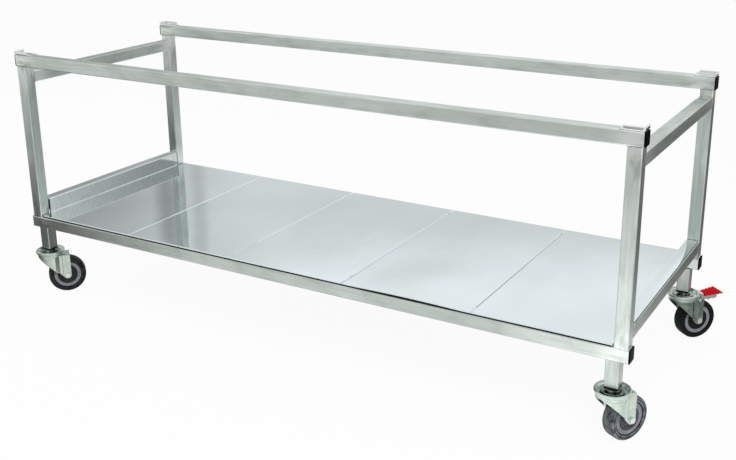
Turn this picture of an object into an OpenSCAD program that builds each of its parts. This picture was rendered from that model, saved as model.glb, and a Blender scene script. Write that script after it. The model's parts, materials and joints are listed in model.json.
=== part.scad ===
// Food service trolley: a welded stainless steel square-tube stand on four swivel
// castors, with a bottom shelf of five drop-in sheet panels and four corner brackets
// that locate a counter-top display unit on its top rails.
// X runs along the length, Y from front to rear, Z up from the floor.
// The origin is on the floor, under the middle of the frame.

/* [Frame] */
// Length of the long rails
frame_length = 1668; // [1300:1:2400]
// Depth over the front and rear rails
frame_depth = 590; // [450:1:800]
// Height from the underside of the lower rails to the top of the top rails
frame_height = 476; // [320:1:700]
// Side of the square tube
tube = 30; // [26:0.5:40]
// Wall of the square tube
tube_wall = 1.5; // [1:0.1:2.5]
// Outside corner radius of the tube
tube_corner = 2.5; // [2.2:0.1:4]
// Distance of the posts from the rail ends
post_inset = 1.5; // [0:0.1:12]
// Gap between the top rails and the top cross rails
top_cross_drop = 14.5; // [4:0.5:60]
// Gap between the lower rails and the lower cross rails
lower_cross_rise = 13.5; // [8:0.5:60]

/* [Legs] */
// Length of the castor legs under the lower rails
leg_length = 60; // [52:1:160]
// Distance of the leg faces from the rail ends
leg_inset_x = 17; // [6:0.5:80]
// Distance of the leg faces from the outer rail faces
leg_inset_y = 2; // [0:0.5:20]

/* [End caps] */
// Thickness of the cap flange outside the tube
cap_flange = 3; // [1.5:0.1:5]
// Depth of the cap plug inside the tube
cap_plug = 14; // [6:0.5:30]
// Wall of the cap plug
cap_wall = 2; // [1:0.1:3]

/* [Corner brackets] */
// Thickness of the bracket sheet
bracket_sheet = 2; // [1.2:0.1:3]
// Length of the bracket base along the rail
bracket_base = 49.5; // [35:0.5:90]
// Length of the long upstand along the rail
bracket_upstand = 45.5; // [25:0.5:80]
// Height of the upstands above the rail
bracket_height = 10; // [7:0.5:25]
// Overhang of the bracket past the rail end
bracket_overhang = 1.5; // [0:0.1:2.5]
// Outside radius of the bracket folds
bracket_fold = 3; // [2:0.1:4]
// Slope cut off the free end of the long upstand
bracket_slope = 5; // [1:0.5:8]

/* [Shelf] */
// Width of one shelf bay
panel_pitch = 325; // [240:1:330]
// Thickness of the shelf sheet
panel_sheet = 1.2; // [0.8:0.1:2]
// Height of the shelf surface above the lower rails
panel_rise = 5; // [3:0.5:8]
// Distance of the shelf edge from the outer rail face
panel_inset = 3; // [1:0.5:12]
// Gap between two panels, and between a panel and the tubes
panel_gap = 1; // [0.4:0.1:3]
// Depth of the stiffening flanges between the rails
panel_flange = 20; // [8:0.5:40]
// Notch of the end panels around the posts
panel_notch = 3; // [1.5:0.5:8]

/* [Castors] */
// Height from the floor to the leg ends
castor_height = 133; // [118:0.5:150]
// Height of the swivel head and its room above the wheel
head_height = 33; // [33:0.5:42]
// Wheel width
wheel_w = 32; // [28:0.5:36]
// Distance from the swivel axis to the axle
trail = 39; // [36:0.5:42]
// Swivel angle of the front left castor
swivel_front_left = 49; // [-180:1:180]
// Swivel angle of the front right castor
swivel_front_right = 61; // [-180:1:180]
// Swivel angle of the rear left castor
swivel_rear_left = 52; // [-180:1:180]
// Swivel angle of the rear right castor
swivel_rear_right = 49; // [-180:1:180]

/* [Fork] */
// Diameter of the swivel head over its rim
head_d = 77; // [74:0.5:84]
// Thickness of the fork sheet
fork_sheet = 2.5; // [2:0.1:3]
// Clearance between the tyre and each cheek
fork_side_gap = 2.5; // [1.5:0.1:5]
// Radius of the cheek round the axle
cheek_tip_r = 10; // [9:0.5:13]
// Radius of the skirt under the head
skirt_r = 34; // [32:0.5:35]

/* [Swivel bearing] */
// Diameter of the bearing balls
ball_d = 4; // [3.5:0.1:4.4]
// Number of balls in each race
ball_count = 14; // [8:1:18]
// Radius of the ball circle
ball_circle_r = 19; // [17:0.5:21]
// Radius of the king bolt
king_bolt_r = 5; // [4:0.5:6]
// Radius of the swivel spigot
spigot_r = 12; // [11:0.5:13]
// Radial clearance of the running fits
running_fit = 0.05; // [0.02:0.01:0.09]

/* [Wheel] */
// Radius of the axle sleeve
sleeve_r = 6; // [5.5:0.5:8]
// Radius of the axle bolt
axle_bolt_r = 4; // [3:0.5:5]
// Thickness of the tyre between rim and tread
tyre_thickness = 14; // [12:0.5:16]
// Thickness of the rim band under the tyre
rim_band = 9; // [7:0.5:11]
// Radius of the wheel hub
hub_r = 11; // [9.5:0.5:14]
// Radius of the tyre shoulders
tyre_shoulder = 6; // [4:0.5:8]

/* [Brake] */
// Angle that the pedal goes down to lock
pedal_travel = 12; // [6:1:14]
// Length of the red pedal pad
pad_length = 48; // [30:1:55]
// Width of the pad at its inner end
pad_inner_w = 33; // [30:1:38]
// Width of the pad at its outer end
pad_outer_w = 45; // [36:1:60]
// Thickness of the pad
pad_thickness = 4; // [3:0.5:6]
// Rise of the pad towards its outer end, in degrees
pad_tilt = 4.5; // [0:0.5:8]
// Radius of the brake pin
brake_pin_r = 2.5; // [2:0.1:2.8]

/* [Hidden] */

$fn = 48;
cut = 1; // how far a cutter runs past the face it opens

// frame levels and places
lower_z = castor_height + leg_length;
lower_top_z = lower_z + tube;
top_z = lower_z + frame_height;
top_rail_z = top_z - tube;
half_l = frame_length / 2;
half_d = frame_depth / 2;
post_x = half_l - post_inset - tube / 2;
rail_y = half_d - tube / 2;
span_y = frame_depth - 2 * tube;
leg_x = half_l - leg_inset_x - tube / 2;
leg_y = half_d - leg_inset_y - tube / 2;
bore = tube - 2 * tube_wall;
bore_corner = tube_corner - tube_wall;
plug_fit = 0.1; // clearance of the plugs in the tubes, each side
lower_cross_z = lower_top_z + lower_cross_rise;

// shelf
panel_count = 5;
shelf_z = lower_top_z + panel_rise;
shelf_half_d = half_d - panel_inset;
shelf_end_x = post_x - tube / 2 - panel_gap / 2;
lap_end_x = post_x + tube / 2 - tube_corner - panel_gap / 2;
lap_z = lower_cross_z + tube;
upstand_half = span_y / 2 - panel_notch;

// castor levels
flange_h = 5;      // height of the expander flange
boss_h = 4.7;      // height of the race boss under the flange
race_t = 2.5;      // thickness of the race disc
race_r = 26;       // radius of the race disc
boss_r = 14;       // radius of the race boss
ball_gap = 0.1;    // clearance of the balls in their grooves
ball_show = 0.7;   // how much of a ball sits in each groove
flange_z = castor_height - flange_h;
race_top_z = flange_z - boss_h;
race_z = race_top_z - race_t;
floor_top_z = race_z - (ball_d - 2 * ball_show);
floor_z = floor_top_z - fork_sheet;
ball_z = (race_z + floor_top_z) / 2;
washer_gap = 0.3;  // clearance of the fixed washer under the turning head
washer_t = 2.3;    // thickness of the fixed washer
washer_r = 18;     // radius of the fixed washer
washer_seat = 0.05; // gap that keeps the washer a piece of its own
washer_z = floor_z - washer_gap - washer_t;
bolt_head_h = 6;   // height of the king bolt head
bolt_head_r = 9.8; // radius of the king bolt head over its corners
bolt_fit = 0.1;    // clearance of the bolts in their holes
expander_depth = 40;
cone_h = 8;        // height of the expander cone nut
cone_r = 10;       // radius of the expander cone nut

// fork
cheek_in = wheel_w / 2 + fork_side_gap;
cheek_out = cheek_in + fork_sheet;
skirt_drop = 5.5;  // height of the skirt between the head and the cheeks' web
web_z = floor_z - skirt_drop;
dish_depth = 7;    // depth of the dish inside the head rim
rim_h = 7;         // height of the head rim
rim_top_z = floor_top_z + dish_depth;
rim_round = 2.2;   // radius of the rim rolls
dish_round = 3;    // width of the slope at the foot of the rim
front_trim = 1;    // how far the cheeks stop behind the front of the skirt
front_drop = 0.5;  // how far the cheeks reach under the web at the front
skirt_angle = 75;  // angle at which the round skirt runs into the cheeks
tip_rear = trail + cheek_tip_r;
crease_x = 18;     // where the skirt meets the flat cheeks

// wheel
wheel_r = (castor_height - head_height) / 2;
rim_r = wheel_r - tyre_thickness;
rim_inner_r = rim_r - rim_band;
hub_gap = 0.5;     // side clearance of the hub between the cheeks
hub_half = cheek_in - hub_gap;
rim_step = 2;      // how far the rim lies inside the sidewall
rim_half = wheel_w / 2 - rim_step;
web_half = 4;      // half thickness of the wheel disc
bead_step = 2.5;   // width of the sidewall's step down to the rim
groove_round = 1;  // radius of the ring grooves
guard_t = 2.4;     // thickness of a thread guard
guard_gap = 0.8;   // clearance of a thread guard in the rim
guard_inset = 1.8; // how far a thread guard sits inside the rim's edge
guard_r = rim_inner_r - guard_gap;
guard_z = rim_half - guard_inset;
sleeve_half = cheek_in;
hex_r = 7.5;       // radius of the axle bolt head over its corners
hex_h = 4.5;       // height of the axle bolt head
nut_h = 6;         // height of the axle nut

// brake, in the fork's own upright plane
pin_reach = 3;       // distance of the brake pin outside the skirt
pin_drop = 4.7;      // distance of the brake pin under the cheeks' web
pin_x = skirt_r + pin_reach;
pin_z = web_z - pin_drop;
boss_lever_r = 4.4;  // radius of the lever round its pin
lever_t = 2;         // thickness of the lever sheet
lever_half = 13;     // half width of the lever
lever_length = 54;   // length of the lever from its pin
lever_end_x = pin_x + lever_length;
hump_drop = 7;       // how far the lever's hump stays under the head rim
hump_gap = 2.5;      // clearance of the hump outside the head rim
hump_length = 10;
hump_step = 2;       // length of the step from the hump down to the pad
lever_lip = 2.5;     // how far the side plates reach under the pin's level at the block
lever_depth = 6;     // depth of the side plates at the outer end
hump_z = rim_top_z - hump_drop;
hump_x1 = head_d / 2 + hump_gap;
hump_x2 = hump_x1 + hump_length;
pad_start = 18;      // distance of the pad from the brake pin
pad_x = pin_x + pad_start;
pad_z = web_z;
shoe_start = 21;     // distance of the friction block from the brake pin
shoe_length = 14;
shoe_x1 = pin_x + shoe_start;
shoe_x2 = shoe_x1 + shoe_length;
shoe_half = 10;      // half width of the friction block
shoe_gap = 0.3;      // what is left between the shoe and the tyre when locked

// unit signs and swivel angle of each castor: [x side, y side, angle, braked]
FRONT_LEFT = [-1, -1, swivel_front_left, false];
FRONT_RIGHT = [1, -1, swivel_front_right, false];
REAR_LEFT = [-1, 1, swivel_rear_left, true];
REAR_RIGHT = [1, 1, swivel_rear_right, true];
CASTORS = [FRONT_LEFT, FRONT_RIGHT, REAR_LEFT, REAR_RIGHT];

steel = "#c9cdcc";
sheet = "#d5dade";
zinc = "#c3cdc8";
black = "#1b1c1e";
grey = "#8d9096";
dark = "#4a4d52";
red = "#d8202a";

// ---- square tube ----

// square with rounded corners, centred
module rounded_square(size, r) {
    square([size, size - 2 * r], center = true);
    square([size - 2 * r, size], center = true);
    for (sx = [-1, 1], sy = [-1, 1])
        translate([sx * (size / 2 - r), sy * (size / 2 - r)]) circle(r);
}

module tube_profile() {
    difference() {
        rounded_square(tube, tube_corner);
        rounded_square(bore, bore_corner);
    }
}

// square tube along Z from the origin
module tube_z(length) {
    linear_extrude(length) tube_profile();
}

// long rail, side -1 front or 1 rear, with its underside at z
module long_rail(side, z) {
    color(steel) translate([-half_l, side * rail_y, z + tube / 2])
        rotate([0, 90, 0]) tube_z(frame_length);
}

// cross rail between two posts, side -1 left or 1 right, with its underside at z
module cross_rail(side, z) {
    color(steel) translate([side * post_x, span_y / 2, z + tube / 2])
        rotate([90, 0, 0]) tube_z(span_y);
}

module post(sx, sy) {
    color(steel) translate([sx * post_x, sy * rail_y, lower_top_z])
        tube_z(top_rail_z - lower_top_z);
}

module leg(sx, sy) {
    color(steel) translate([sx * leg_x, sy * leg_y, castor_height]) tube_z(leg_length);
}

// ---- end caps ----

// one cap with its flange towards +X and the tube end at the origin
module end_cap() {
    plug = bore - 2 * plug_fit;
    rotate([0, 90, 0]) linear_extrude(cap_flange) rounded_square(tube, tube_corner);
    rotate([0, -90, 0]) linear_extrude(cap_plug) difference() {
        rounded_square(plug, bore_corner);
        rounded_square(plug - 2 * cap_wall, bore_corner);
    }
}

module end_caps(side) {
    color(black) for (sy = [-1, 1], z = [lower_z, top_rail_z])
        translate([side * half_l, sy * rail_y, z + tube / 2])
            mirror([side < 0 ? 1 : 0, 0, 0]) end_cap();
}

// ---- corner brackets ----

// section across a fold: a base plate of the given width that turns up at 0
module fold_section(width) {
    intersection() {
        difference() {
            translate([bracket_fold, bracket_fold]) circle(bracket_fold);
            translate([bracket_fold, bracket_fold]) circle(bracket_fold - bracket_sheet);
        }
        square(bracket_fold);
    }
    translate([bracket_fold, 0]) square([width - bracket_fold, bracket_sheet]);
    translate([0, bracket_fold]) square([bracket_sheet, bracket_height - bracket_fold]);
}

// bracket for the front right corner: the outer bottom edges of its folds meet at the origin
module corner_bracket_shape() {
    base = bracket_base + bracket_overhang;
    upstand = bracket_upstand + bracket_overhang;
    // base with the long upstand, whose free end slopes
    difference() {
        translate([-base, 0, 0]) rotate([90, 0, 90])
            linear_extrude(base - bracket_fold) fold_section(tube);
        translate([0, bracket_fold, 0]) rotate([90, 0, 0]) linear_extrude(bracket_fold + cut)
            polygon([[-base - cut, bracket_sheet], [-upstand, bracket_sheet],
                [bracket_slope - upstand, bracket_height + cut], [-base - cut, bracket_height + cut]]);
    }
    translate([-bracket_fold, 0, bracket_fold])
        cube([bracket_fold - bracket_sheet, bracket_sheet, bracket_height - bracket_fold]);
    // end upstand, with a relief where the two folds meet
    difference() {
        translate([0, tube, 0]) rotate([90, 0, 0]) linear_extrude(tube)
            mirror([1, 0, 0]) fold_section(bracket_fold + cut);
        translate([-bracket_fold - 2 * cut, -cut, -cut])
            cube([bracket_fold + 3 * cut, bracket_fold + cut, bracket_fold + cut]);
    }
}

module corner_bracket(sx, sy) {
    color(sheet) translate([sx * (half_l + bracket_overhang), sy * half_d, top_z])
        mirror([sx < 0 ? 1 : 0, 0, 0]) mirror([0, sy > 0 ? 1 : 0, 0]) corner_bracket_shape();
}

// ---- shelf panels ----

// sheet tray from x1 to x2: flat top, lips on the rails and flanges between them
module tray(x1, x2) {
    translate([x1, -shelf_half_d, shelf_z - panel_sheet])
        cube([x2 - x1, 2 * shelf_half_d, panel_sheet]);
    for (y = [-shelf_half_d, shelf_half_d - panel_sheet])
        translate([x1, y, lower_top_z]) cube([x2 - x1, panel_sheet, panel_rise]);
}

// stiffening flange under the edge of a tray, with its left face at x
module tray_flange(x) {
    translate([x, -span_y / 2 + panel_gap, shelf_z - panel_flange])
        cube([panel_sheet, span_y - 2 * panel_gap, panel_flange]);
}

module middle_panel(i) {
    x1 = (i - panel_count / 2) * panel_pitch + panel_gap / 2;
    x2 = x1 + panel_pitch - panel_gap;
    color(sheet) {
        tray(x1, x2);
        tray_flange(x1);
        tray_flange(x2 - panel_sheet);
    }
}

// end panel, side -1 left or 1 right: notched at the posts, turned up against the cross
// rail and lapped over its top
module end_panel(side) {
    x1 = (panel_count / 2 - 1) * panel_pitch + panel_gap / 2;
    color(sheet) mirror([side < 0 ? 1 : 0, 0, 0]) {
        difference() {
            tray(x1, shelf_end_x);
            for (y = [-half_d, upstand_half])
                translate([shelf_end_x - panel_notch, y, lower_top_z - cut])
                    cube([panel_notch + cut, half_d - upstand_half, panel_rise + 2 * cut]);
        }
        tray_flange(x1);
        translate([shelf_end_x - panel_sheet, -upstand_half, shelf_z - panel_sheet])
            cube([panel_sheet, 2 * upstand_half, lap_z - shelf_z + 2 * panel_sheet]);
        translate([shelf_end_x - panel_sheet, -upstand_half, lap_z])
            cube([lap_end_x - shelf_end_x + panel_sheet, 2 * upstand_half, panel_sheet]);
    }
}

// ---- castors ----

// puts its children on the swivel axis of one castor, turned to its swivel angle
module at_castor(c) {
    translate([c[0] * leg_x, c[1] * leg_y, 0]) rotate([0, 0, c[2]]) children();
}

// puts its children on the axle of one castor, with Z along the axle
module at_axle(c) {
    at_castor(c) translate([trail, 0, wheel_r]) rotate([90, 0, 0]) children();
}

module expander() {
    plug = bore - 2 * plug_fit;
    difference() {
        union() {
            translate([0, 0, flange_z]) linear_extrude(flange_h) rounded_square(tube, tube_corner);
            translate([0, 0, castor_height]) linear_extrude(expander_depth) rounded_square(plug, bore_corner);
        }
        translate([0, 0, flange_z - cut])
            cylinder(r = king_bolt_r + bolt_fit, h = expander_depth + flange_h + 2 * cut);
    }
}

module castor_expanders() {
    color(black) for (c = CASTORS) translate([c[0] * leg_x, c[1] * leg_y, 0]) expander();
}

module king_bolt() {
    translate([0, 0, washer_z - bolt_head_h]) cylinder(r = bolt_head_r, h = bolt_head_h, $fn = 6);
    translate([0, 0, washer_z - cut])
        cylinder(r = king_bolt_r, h = castor_height + expander_depth + cone_h - washer_z + cut);
    difference() {
        translate([0, 0, castor_height + expander_depth]) cylinder(r = cone_r, h = cone_h);
        translate([0, 0, castor_height + expander_depth - cut])
            cylinder(r = king_bolt_r + bolt_fit, h = cone_h + 2 * cut);
    }
}

module king_bolts() {
    color(zinc) for (c = CASTORS) at_castor(c) king_bolt();
}

// the groove that the balls run in, as a cutter
module ball_groove() {
    translate([0, 0, ball_z]) rotate_extrude()
        translate([ball_circle_r, 0]) circle(ball_d / 2 + ball_gap);
}

// fixed upper race with its spigot, and the fixed washer under the head
module swivel_race() {
    difference() {
        union() {
            translate([0, 0, washer_z + washer_t + washer_seat])
                cylinder(r = spigot_r, h = race_z - washer_z - washer_t);
            translate([0, 0, race_z]) cylinder(r = race_r, h = race_t);
            translate([0, 0, race_z]) cylinder(r = boss_r, h = race_t + boss_h);
        }
        ball_groove();
        translate([0, 0, washer_z]) cylinder(r = king_bolt_r + bolt_fit, h = castor_height);
    }
    translate([0, 0, washer_z]) difference() {
        cylinder(r = washer_r, h = washer_t);
        translate([0, 0, -cut]) cylinder(r = king_bolt_r + bolt_fit, h = washer_t + 2 * cut);
    }
}

module swivel_races() {
    color(zinc) for (c = CASTORS) at_castor(c) swivel_race();
}

module swivel_balls() {
    color(zinc) for (c = CASTORS) at_castor(c) for (i = [0 : ball_count - 1])
        rotate([0, 0, i * 360 / ball_count]) translate([ball_circle_r, 0, ball_z])
            sphere(ball_d / 2, $fn = 24);
}

// plan of the skirt and cheeks, drawn in by the given amount
module fork_plan(inset) {
    r = skirt_r - inset;
    w = cheek_out - inset;
    difference() {
        union() {
            circle(r);
            translate([0, -w]) square([tip_rear, 2 * w]);
        }
        // a flat facet leads from the round skirt to each cheek
        for (s = [-1, 1]) {
            crease = [crease_x, s * w];
            start = r * [cos(skirt_angle), s * sin(skirt_angle)];
            beyond = crease + 2 * (start - crease);
            polygon([crease, beyond, [2 * r, beyond[1]], [2 * r, s * w]]);
        }
    }
}

// side view of the cheeks: straight down at the back, sloping to the front
module cheek_side() {
    front = [front_trim - skirt_r, web_z - front_drop];
    axle = [trail, wheel_r];
    reach = norm(axle - front);
    turn = atan2(axle[1] - front[1], axle[0] - front[0]) - asin(cheek_tip_r / reach);
    run = sqrt(reach * reach - cheek_tip_r * cheek_tip_r);
    touch = front + run * [cos(turn), sin(turn)];
    top = floor_z;
    polygon([front, touch, axle, [tip_rear, wheel_r], [tip_rear, top], [-skirt_r - cut, top],
        [-skirt_r - cut, front[1]]]);
    translate(axle) circle(cheek_tip_r);
}

// head: rolled rim round a dish whose floor carries the balls
module fork_head() {
    rim_in = head_d / 2 - 2 * rim_round;
    rotate_extrude() difference() {
        union() {
            translate([spigot_r + running_fit, floor_z])
                square([skirt_r - spigot_r - running_fit, fork_sheet]);
            translate([rim_in, rim_top_z - rim_round]) translate([rim_round, 0]) circle(rim_round);
            translate([rim_in, rim_top_z - rim_h + rim_round])
                square([2 * rim_round, rim_h - 2 * rim_round]);
            translate([rim_in + rim_round, rim_top_z - rim_h + rim_round]) circle(rim_round);
            polygon([[skirt_r - fork_sheet, floor_z], [skirt_r, floor_z],
                [head_d / 2 - rim_round, rim_top_z - rim_h], [rim_in, rim_top_z - rim_round],
                [rim_in - dish_round, floor_top_z]]);
            translate([skirt_r - fork_sheet, web_z]) square([fork_sheet, skirt_drop]);
        }
        translate([ball_circle_r, ball_z]) circle(ball_d / 2 + ball_gap);
    }
}

module fork(c) {
    color(zinc) at_castor(c) difference() {
        union() {
            intersection() {
                difference() {
                    linear_extrude(web_z) fork_plan(0);
                    translate([0, 0, -cut]) linear_extrude(web_z - fork_sheet + cut) fork_plan(fork_sheet);
                    translate([0, 0, web_z - fork_sheet - cut])
                        cylinder(r = skirt_r - fork_sheet, h = fork_sheet + 2 * cut);
                }
                translate([0, cheek_out + skirt_r, 0]) rotate([90, 0, 0])
                    linear_extrude(2 * (cheek_out + skirt_r)) cheek_side();
            }
            fork_head();
        }
        // axle hole through both cheeks
        translate([trail, cheek_out + cut, wheel_r]) rotate([90, 0, 0])
            cylinder(r = axle_bolt_r + bolt_fit, h = 2 * (cheek_out + cut));
        if (c[3]) {
            // brake pin hole and the opening that the lever comes out of
            translate([pin_x, cheek_out + cut, pin_z]) rotate([90, 0, 0])
                cylinder(r = brake_pin_r + running_fit, h = 2 * (cheek_out + cut));
            translate([skirt_r - fork_sheet - cut, -cheek_in, web_z - fork_sheet - cut])
                cube([tip_rear, 2 * cheek_in, fork_sheet + 2 * cut]);
        }
    }
}

module axle(c) {
    color(zinc) at_axle(c) {
        // bolt with its head on one cheek and its nut on the other
        translate([0, 0, cheek_out]) cylinder(r = hex_r, h = hex_h, $fn = 6);
        translate([0, 0, -cheek_out - nut_h - cut])
            cylinder(r = axle_bolt_r, h = 2 * cheek_out + nut_h + 2 * cut);
        difference() {
            translate([0, 0, -cheek_out - nut_h]) cylinder(r = hex_r, h = nut_h, $fn = 6);
            translate([0, 0, -cheek_out - nut_h - cut])
                cylinder(r = axle_bolt_r + bolt_fit, h = nut_h + 2 * cut);
        }
        // sleeve that the wheel turns on
        difference() {
            translate([0, 0, -sleeve_half]) cylinder(r = sleeve_r, h = 2 * sleeve_half);
            translate([0, 0, -sleeve_half - cut])
                cylinder(r = axle_bolt_r + bolt_fit, h = 2 * (sleeve_half + cut));
        }
    }
}

module wheel_core(c) {
    color(grey) at_axle(c) rotate_extrude() {
        translate([sleeve_r + running_fit, -hub_half])
            square([hub_r - sleeve_r - running_fit, 2 * hub_half]);
        translate([hub_r, -web_half]) square([rim_inner_r - hub_r, 2 * web_half]);
        translate([rim_inner_r, -rim_half]) square([rim_r - rim_inner_r, 2 * rim_half]);
    }
}

module tyre(c) {
    side = wheel_w / 2;
    groove_r = (rim_r + wheel_r) / 2;
    color(dark) at_axle(c) rotate_extrude() difference() {
        union() {
            translate([rim_r, -side]) square([wheel_r - tyre_shoulder - rim_r, wheel_w]);
            translate([wheel_r - tyre_shoulder, -side + tyre_shoulder])
                square([tyre_shoulder, wheel_w - 2 * tyre_shoulder]);
            for (s = [-1, 1])
                translate([wheel_r - tyre_shoulder, s * (side - tyre_shoulder)]) circle(tyre_shoulder);
        }
        for (s = [-1, 1]) {
            // the sidewall steps down to the rim, with a groove half way
            translate([groove_r, s * side]) circle(groove_round);
            translate([rim_r - cut, s > 0 ? rim_half : -side - cut])
                square([cut + bead_step, side - rim_half + cut]);
        }
    }
}

module thread_guards(c) {
    color(dark) at_axle(c) for (s = [0, 1]) mirror([0, 0, s]) translate([0, 0, guard_z])
        rotate_extrude() difference() {
            translate([hub_r + running_fit, 0]) square([guard_r - hub_r - running_fit, guard_t]);
            translate([(hub_r + guard_r) / 2, guard_t]) circle(groove_round);
        }
}

// ---- brake of the rear castors ----

module brake_pin(c) {
    head_r = 4;
    head_h = 1.5;
    color(zinc) at_castor(c) translate([pin_x, 0, pin_z]) rotate([90, 0, 0]) {
        translate([0, 0, -cheek_out - head_h]) cylinder(r = brake_pin_r, h = 2 * (cheek_out + head_h));
        for (s = [0, 1]) mirror([0, 0, s]) translate([0, 0, cheek_out]) cylinder(r = head_r, h = head_h);
    }
}

// side plate of the lever, seen from the side
module lever_side() {
    translate([pin_x, pin_z]) circle(boss_lever_r);
    step_x = hump_x2 + hump_step;
    polygon([[pin_x - boss_lever_r, pin_z], [pin_x, pin_z - boss_lever_r],
        [shoe_x1, pin_z - lever_lip], [lever_end_x, pad_z - lever_depth],
        [lever_end_x, pad_top(lever_end_x)], [step_x, pad_top(step_x)],
        [hump_x2, hump_z], [hump_x1, hump_z],
        [hump_x1, pin_z + boss_lever_r], [pin_x, pin_z + boss_lever_r]]);
}

// height of the lever's top under the pad, at x
function pad_top(x) = pad_z + (x - pad_x) * tan(pad_tilt);

module brake_lever(c) {
    step_x = hump_x2 + hump_step;
    color(zinc) at_castor(c) difference() {
        rotate([90, 0, 0]) translate([0, 0, -lever_half]) linear_extrude(2 * lever_half) lever_side();
        // the channel is open below, and open in front of its hump
        rotate([90, 0, 0]) translate([0, 0, lever_t - lever_half]) linear_extrude(2 * (lever_half - lever_t))
            polygon([[0, 0], [lever_end_x + cut, 0],
                [lever_end_x + cut, pad_top(lever_end_x + cut) - lever_t],
                [step_x, pad_top(step_x) - lever_t],
                [hump_x2 - lever_t, hump_z - lever_t], [0, hump_z - lever_t]]);
        translate([pin_x, lever_half + cut, pin_z]) rotate([90, 0, 0])
            cylinder(r = brake_pin_r + running_fit, h = 2 * (lever_half + cut));
    }
}

module brake_pedal(c) {
    color(red) at_castor(c) translate([pad_x, 0, pad_z]) rotate([0, -pad_tilt, 0])
        linear_extrude(pad_thickness) polygon([[0, -pad_inner_w / 2], [pad_length, -pad_outer_w / 2],
            [pad_length, pad_outer_w / 2], [0, pad_inner_w / 2]]);
}

// friction block under the lever, hollowed to the tyre as it meets it when the pedal is down
module brake_shoe(c) {
    color(black) at_castor(c) difference() {
        rotate([90, 0, 0]) translate([0, 0, -shoe_half]) linear_extrude(2 * shoe_half)
            polygon([[shoe_x1, wheel_r], [shoe_x2, wheel_r], [shoe_x2, pad_top(shoe_x2) - lever_t],
                [shoe_x1, pad_top(shoe_x1) - lever_t]]);
        translate([pin_x, 0, pin_z]) rotate([0, -pedal_travel, 0])
            translate([trail - pin_x, wheel_w, wheel_r - pin_z]) rotate([90, 0, 0])
                cylinder(r = wheel_r + shoe_gap, h = 2 * wheel_w, $fn = 96);
    }
}

long_rail(-1, top_rail_z);  // top_rail_front
long_rail(1, top_rail_z);  // top_rail_rear
long_rail(-1, lower_z);  // lower_rail_front
long_rail(1, lower_z);  // lower_rail_rear
cross_rail(-1, top_rail_z - top_cross_drop - tube);  // top_cross_rail_left
cross_rail(1, top_rail_z - top_cross_drop - tube);  // top_cross_rail_right
cross_rail(-1, lower_cross_z);  // lower_cross_rail_left
cross_rail(1, lower_cross_z);  // lower_cross_rail_right
post(-1, -1);  // post_front_left
post(1, -1);  // post_front_right
post(-1, 1);  // post_rear_left
post(1, 1);  // post_rear_right
leg(-1, -1);  // leg_front_left
leg(1, -1);  // leg_front_right
leg(-1, 1);  // leg_rear_left
leg(1, 1);  // leg_rear_right
end_caps(-1);  // end_caps_left
end_caps(1);  // end_caps_right
corner_bracket(-1, -1);  // corner_bracket_front_left
corner_bracket(1, -1);  // corner_bracket_front_right
corner_bracket(-1, 1);  // corner_bracket_rear_left
corner_bracket(1, 1);  // corner_bracket_rear_right
end_panel(-1);  // shelf_panel_1
middle_panel(1);  // shelf_panel_2
middle_panel(2);  // shelf_panel_3
middle_panel(3);  // shelf_panel_4
end_panel(1);  // shelf_panel_5
castor_expanders();
king_bolts();
swivel_races();
swivel_balls();
fork(FRONT_LEFT);  // fork_front_left
fork(FRONT_RIGHT);  // fork_front_right
fork(REAR_LEFT);  // fork_rear_left
fork(REAR_RIGHT);  // fork_rear_right
axle(FRONT_LEFT);  // axle_front_left
axle(FRONT_RIGHT);  // axle_front_right
axle(REAR_LEFT);  // axle_rear_left
axle(REAR_RIGHT);  // axle_rear_right
wheel_core(FRONT_LEFT);  // wheel_core_front_left
wheel_core(FRONT_RIGHT);  // wheel_core_front_right
wheel_core(REAR_LEFT);  // wheel_core_rear_left
wheel_core(REAR_RIGHT);  // wheel_core_rear_right
tyre(FRONT_LEFT);  // tyre_front_left
tyre(FRONT_RIGHT);  // tyre_front_right
tyre(REAR_LEFT);  // tyre_rear_left
tyre(REAR_RIGHT);  // tyre_rear_right
thread_guards(FRONT_LEFT);  // thread_guards_front_left
thread_guards(FRONT_RIGHT);  // thread_guards_front_right
thread_guards(REAR_LEFT);  // thread_guards_rear_left
thread_guards(REAR_RIGHT);  // thread_guards_rear_right
brake_pin(REAR_LEFT);  // brake_pin_rear_left
brake_pin(REAR_RIGHT);  // brake_pin_rear_right
brake_lever(REAR_LEFT);  // brake_lever_rear_left
brake_lever(REAR_RIGHT);  // brake_lever_rear_right
brake_pedal(REAR_LEFT);  // brake_pedal_rear_left
brake_pedal(REAR_RIGHT);  // brake_pedal_rear_right
brake_shoe(REAR_LEFT);  // brake_shoe_rear_left
brake_shoe(REAR_RIGHT);  // brake_shoe_rear_right
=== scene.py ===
# %% [markdown]
# # A food service trolley
# This notebook dresses a welded stainless steel trolley: a frame of square tube on four swivel
# castors, with a shelf of bright sheet panels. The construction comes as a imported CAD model, which
# stays where it is. Here every surface gets its finish, and each part that a sharp eye would look
# at twice, such as a pressed fork or a folded tray, is worked out again as a smooth surface.

# %% Load the construction
import json
import math

import bpy
import bmesh
import numpy as np
from mathutils import Matrix, Vector


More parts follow.
